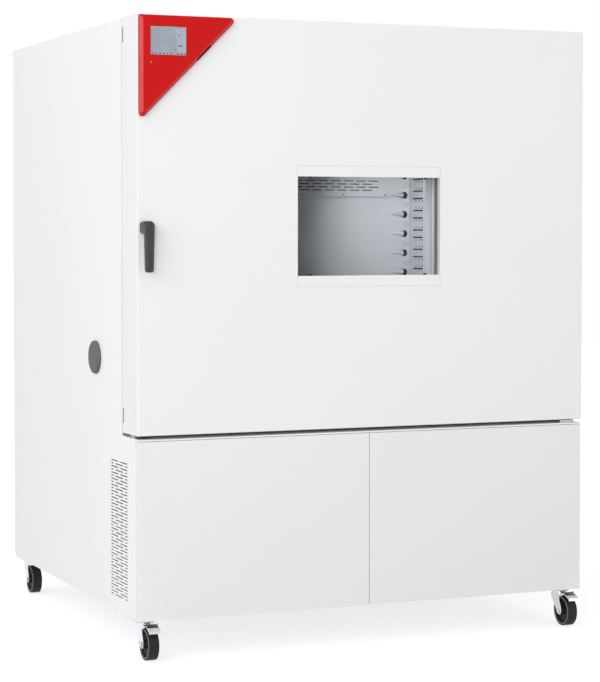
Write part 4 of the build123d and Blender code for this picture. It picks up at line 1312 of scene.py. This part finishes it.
                # Faces that face more sideways than up or down take the lighter copy: painted sheen.
                if abs(face.normal.z) < self.sheen_slope * abs(face.normal.x):
                    face.material_index = 1
        screen_low, screen_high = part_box("display")
        left, right = screen_low.x - self.screen_rim, screen_high.x + self.screen_rim
        bottom, top = screen_low.z - self.screen_rim, screen_high.z + self.screen_rim
        seat = [(left, bottom), (right, bottom), (right, top), (left, top)]
        inner = [mesh.verts.new((x, face_level, z)) for x, z in seat]
        deep = [mesh.verts.new((x, screen_low.y + self.screen_sink, z)) for x, z in seat]
        rim = [mesh.edges.get((rings[-1][place], rings[-1][(place + 1) % count])) for place in range(count)]
        rim += [mesh.edges.new((inner[place], inner[(place + 1) % 4])) for place in range(4)]
        bmesh.ops.triangle_fill(mesh, use_beauty=True, use_dissolve=False, edges=rim)
        for place in range(4):
            after = (place + 1) % 4
            mesh.faces.new((inner[place], inner[after], deep[after], deep[place]))
        mesh.faces.new(rings[0])
        piece = new_piece("control_housing_shell", mesh)
        mounted(piece, RED_HOUSING, Body.DOOR)
        piece.data.materials.append(RED_SHEEN.build())
        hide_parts("control_housing")

    def build_port_slot(self) -> None:
        """Add the sunk socket slot in the housing's sloping bevel, coloured dark red as painted shadow."""
        low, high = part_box("control_housing")
        reach = high.x - low.x + self.tip_growth
        slope = Vector((1, 0, 1)).normalized()
        outward = Vector((1, 0, -1)).normalized()
        first = Vector((low.x, 0.0, high.z - reach)) + slope * self.slot_start
        second = first + slope * self.slot_length
        rows = (
            (
                self.bevel_width * self.slot_rise,
                low.y + self.bevel_depth * (1 - self.slot_rise),
                self.slot_slant,
            ),
            (0.0, low.y + self.bevel_depth, self.slot_slant / 2),
            (0.0, high.y - self.slot_back, 0.0),
        )
        lift = Vector((outward.x, -1.0, outward.z)).normalized() * self.slot_lift
        mesh = bmesh.new()
        verts = []
        for inset, depth, shift in rows:
            for point, way in ((first, shift), (second, -shift)):
                place = point - outward * inset + slope * way + lift
                verts.append(mesh.verts.new((place.x, depth + lift.y, place.z)))
        mesh.faces.new((verts[0], verts[1], verts[3], verts[2]))
        mesh.faces.new((verts[2], verts[3], verts[5], verts[4]))
        bmesh.ops.solidify(mesh, geom=mesh.faces[:], thickness=self.slot_wall)
        mounted(new_piece("socket_slot", mesh), RED_SHADOW_LINE, Body.DOOR)


@dataclass
class HandleSet:
    """Door handle with its spindle, and the plug of the access port."""

    def dress(self) -> None:
        """Give the handle, the spindle and the plug their finishes."""
        dress(HANDLE_GREY, "door_handle")
        dress(ZINC_PLATE, "latch_spindle")
        dress(PLUG_GREY, "port_plug")


@dataclass
class CasterSet:
    """Four swivel casters, the front pair with brake pedals."""

    count: int = 4
    braked: int = 2

    def dress(self) -> None:
        """Give forks, wheels and pedals their finishes."""
        for number in range(1, self.count + 1):
            dress(CHROME, f"caster_fork_{number}")
            low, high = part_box(f"caster_wheel_{number}")
            middle = (low + high) / 2
            dress(WheelFinish(f"wheel_{number}_rubber", tuple(middle)), f"caster_wheel_{number}")
            if number <= self.braked:
                dress(CHROME, f"brake_pedal_{number}")


@dataclass(frozen=True)
class Softbox:
    """A large soft lamp of the studio.

    Args:
        name: the lamp's name.
        place: where it hangs.
        aim: the point that it faces.
        size: side of its square face, in metres.
        power: its strength in watts.
    """

    name: str
    place: Point
    aim: Point
    size: float
    power: float


@dataclass
class Studio:
    """Pale floor, soft light and the camera."""

    camera_place: Point = (-2.8298, -6.7345, 1.3395)
    yaw_deg: float = 22.63
    pitch_deg: float = -1.88
    focal_pixels: float = 2062.4
    axis_right: float = -20.0
    axis_up: float = 43.0
    film: float = 36.0
    floor_half: float = 14.0
    floor_colour: Colour = (0.46, 0.47, 0.50)
    floor_roughness: float = 0.95
    floor_glow: float = 0.68
    world_low: float = 0.54
    world_rise: float = 0.58
    world_band: tuple[float, float] = (-0.6, 0.8)
    window_share: float = 0.05
    softboxes: tuple[Softbox, ...] = (
        Softbox("left_softbox", (-6.5, -5.0, 4.2), (0.0, 0.0, 1.1), 4.5, 150.0),
        Softbox("window_softbox", (-3.5, -6.2, 1.7), (0.2, -0.5, 1.35), 1.0, 88.0),
        Softbox("front_softbox", (4.0, -7.0, 2.8), (0.0, -0.4, 0.9), 4.0, 70.0),
    )

    def build(self) -> None:
        """Build the camera, the world, the lamps and the floor."""
        scene = bpy.context.scene
        scene.view_settings.view_transform = "Standard"
        self.build_camera()
        self.build_world()
        self.build_lamps()
        self.build_floor()

    def build_camera(self) -> None:
        """Set the camera at the photograph's angle."""
        data = bpy.data.cameras.new("studio_camera")
        data.sensor_fit = "VERTICAL"
        data.sensor_height = self.film
        data.lens = self.focal_pixels / PHOTO_HEIGHT * self.film
        data.shift_x = -self.axis_right / PHOTO_HEIGHT
        data.shift_y = -self.axis_up / PHOTO_HEIGHT
        data.clip_end = 100
        camera = bpy.data.objects.new("studio_camera", data)
        camera.location = self.camera_place
        camera.rotation_euler = (math.radians(90 + self.pitch_deg), 0, math.radians(-self.yaw_deg))
        bpy.context.scene.collection.objects.link(camera)
        bpy.context.scene.camera = camera

    def build_world(self) -> None:
        """Light the room more from the left, dim it through glass and show white to the camera."""
        world = bpy.data.worlds.new("studio_world")
        world.use_nodes = True
        bpy.context.scene.world = world
        sheet = Sheet(world.node_tree)
        back = world.node_tree.nodes["Background"].inputs
        path = sheet.add("ShaderNodeLightPath").outputs
        way = sheet.add("ShaderNodeSeparateXYZ", Vector=sheet.add("ShaderNodeTexCoord").outputs["Generated"])
        leftward = sheet.band(sheet.math("MULTIPLY", way.outputs["X"], -1.0), *self.world_band)
        room = sheet.plus(self.world_low, leftward, self.world_rise)
        dimmed = sheet.math("MULTIPLY", path["Is Transmission Ray"], 1.0 - self.window_share)
        room = sheet.math("MULTIPLY", room, sheet.math("SUBTRACT", 1.0, dimmed))
        extra = sheet.math("MULTIPLY", path["Is Camera Ray"], sheet.math("SUBTRACT", 1.0, room))
        sheet.feed(back["Color"], (1.0, 1.0, 1.0))
        sheet.feed(back["Strength"], sheet.math("ADD", extra, room))

    def build_lamps(self) -> None:
        """Hang the soft lamps: left, in front of the window and right."""
        for box in self.softboxes:
            hang_lamp(box.name, "AREA", box.place, box.aim, box.power).size = box.size

    def build_floor(self) -> None:
        """Lay a plain pale floor that keeps the object's shadow."""
        mesh = bmesh.new()
        half = self.floor_half
        corners = [(-half, -half, 0), (half, -half, 0), (half, half, 0), (-half, half, 0)]
        mesh.faces.new([mesh.verts.new(corner) for corner in corners])
        floor = new_piece("studio_floor", mesh)
        material, sheet, shader = open_material("studio_floor")
        sheet.feed(shader["Base Color"], self.floor_colour)
        shader["Roughness"].default_value = self.floor_roughness
        shader["Specular IOR Level"].default_value = 0.0
        path = sheet.add("ShaderNodeLightPath").outputs
        seen = sheet.math("MAXIMUM", path["Is Camera Ray"], path["Is Transmission Ray"])
        seen = sheet.math("MAXIMUM", seen, path["Is Glossy Ray"])
        sheet.feed(shader["Emission Color"], (1.0, 1.0, 1.0))
        sheet.feed(shader["Emission Strength"], sheet.math("MULTIPLY", seen, self.floor_glow))
        floor.data.materials.append(material)


def main() -> None:
    """Build the studio, dress every node and add the small pieces."""
    logging.basicConfig(level=logging.INFO, format="%(message)s")
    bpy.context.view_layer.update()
    Studio().build()
    log.info("studio built")
    for assembly in (Cabinet(), Door(), HandleSet(), CasterSet(), TestSpace()):
        for step in ("dress", "build"):
            if hasattr(assembly, step):
                getattr(assembly, step)()
        log.info("%s built", type(assembly).__name__)


if __name__ == "__main__":
    main()
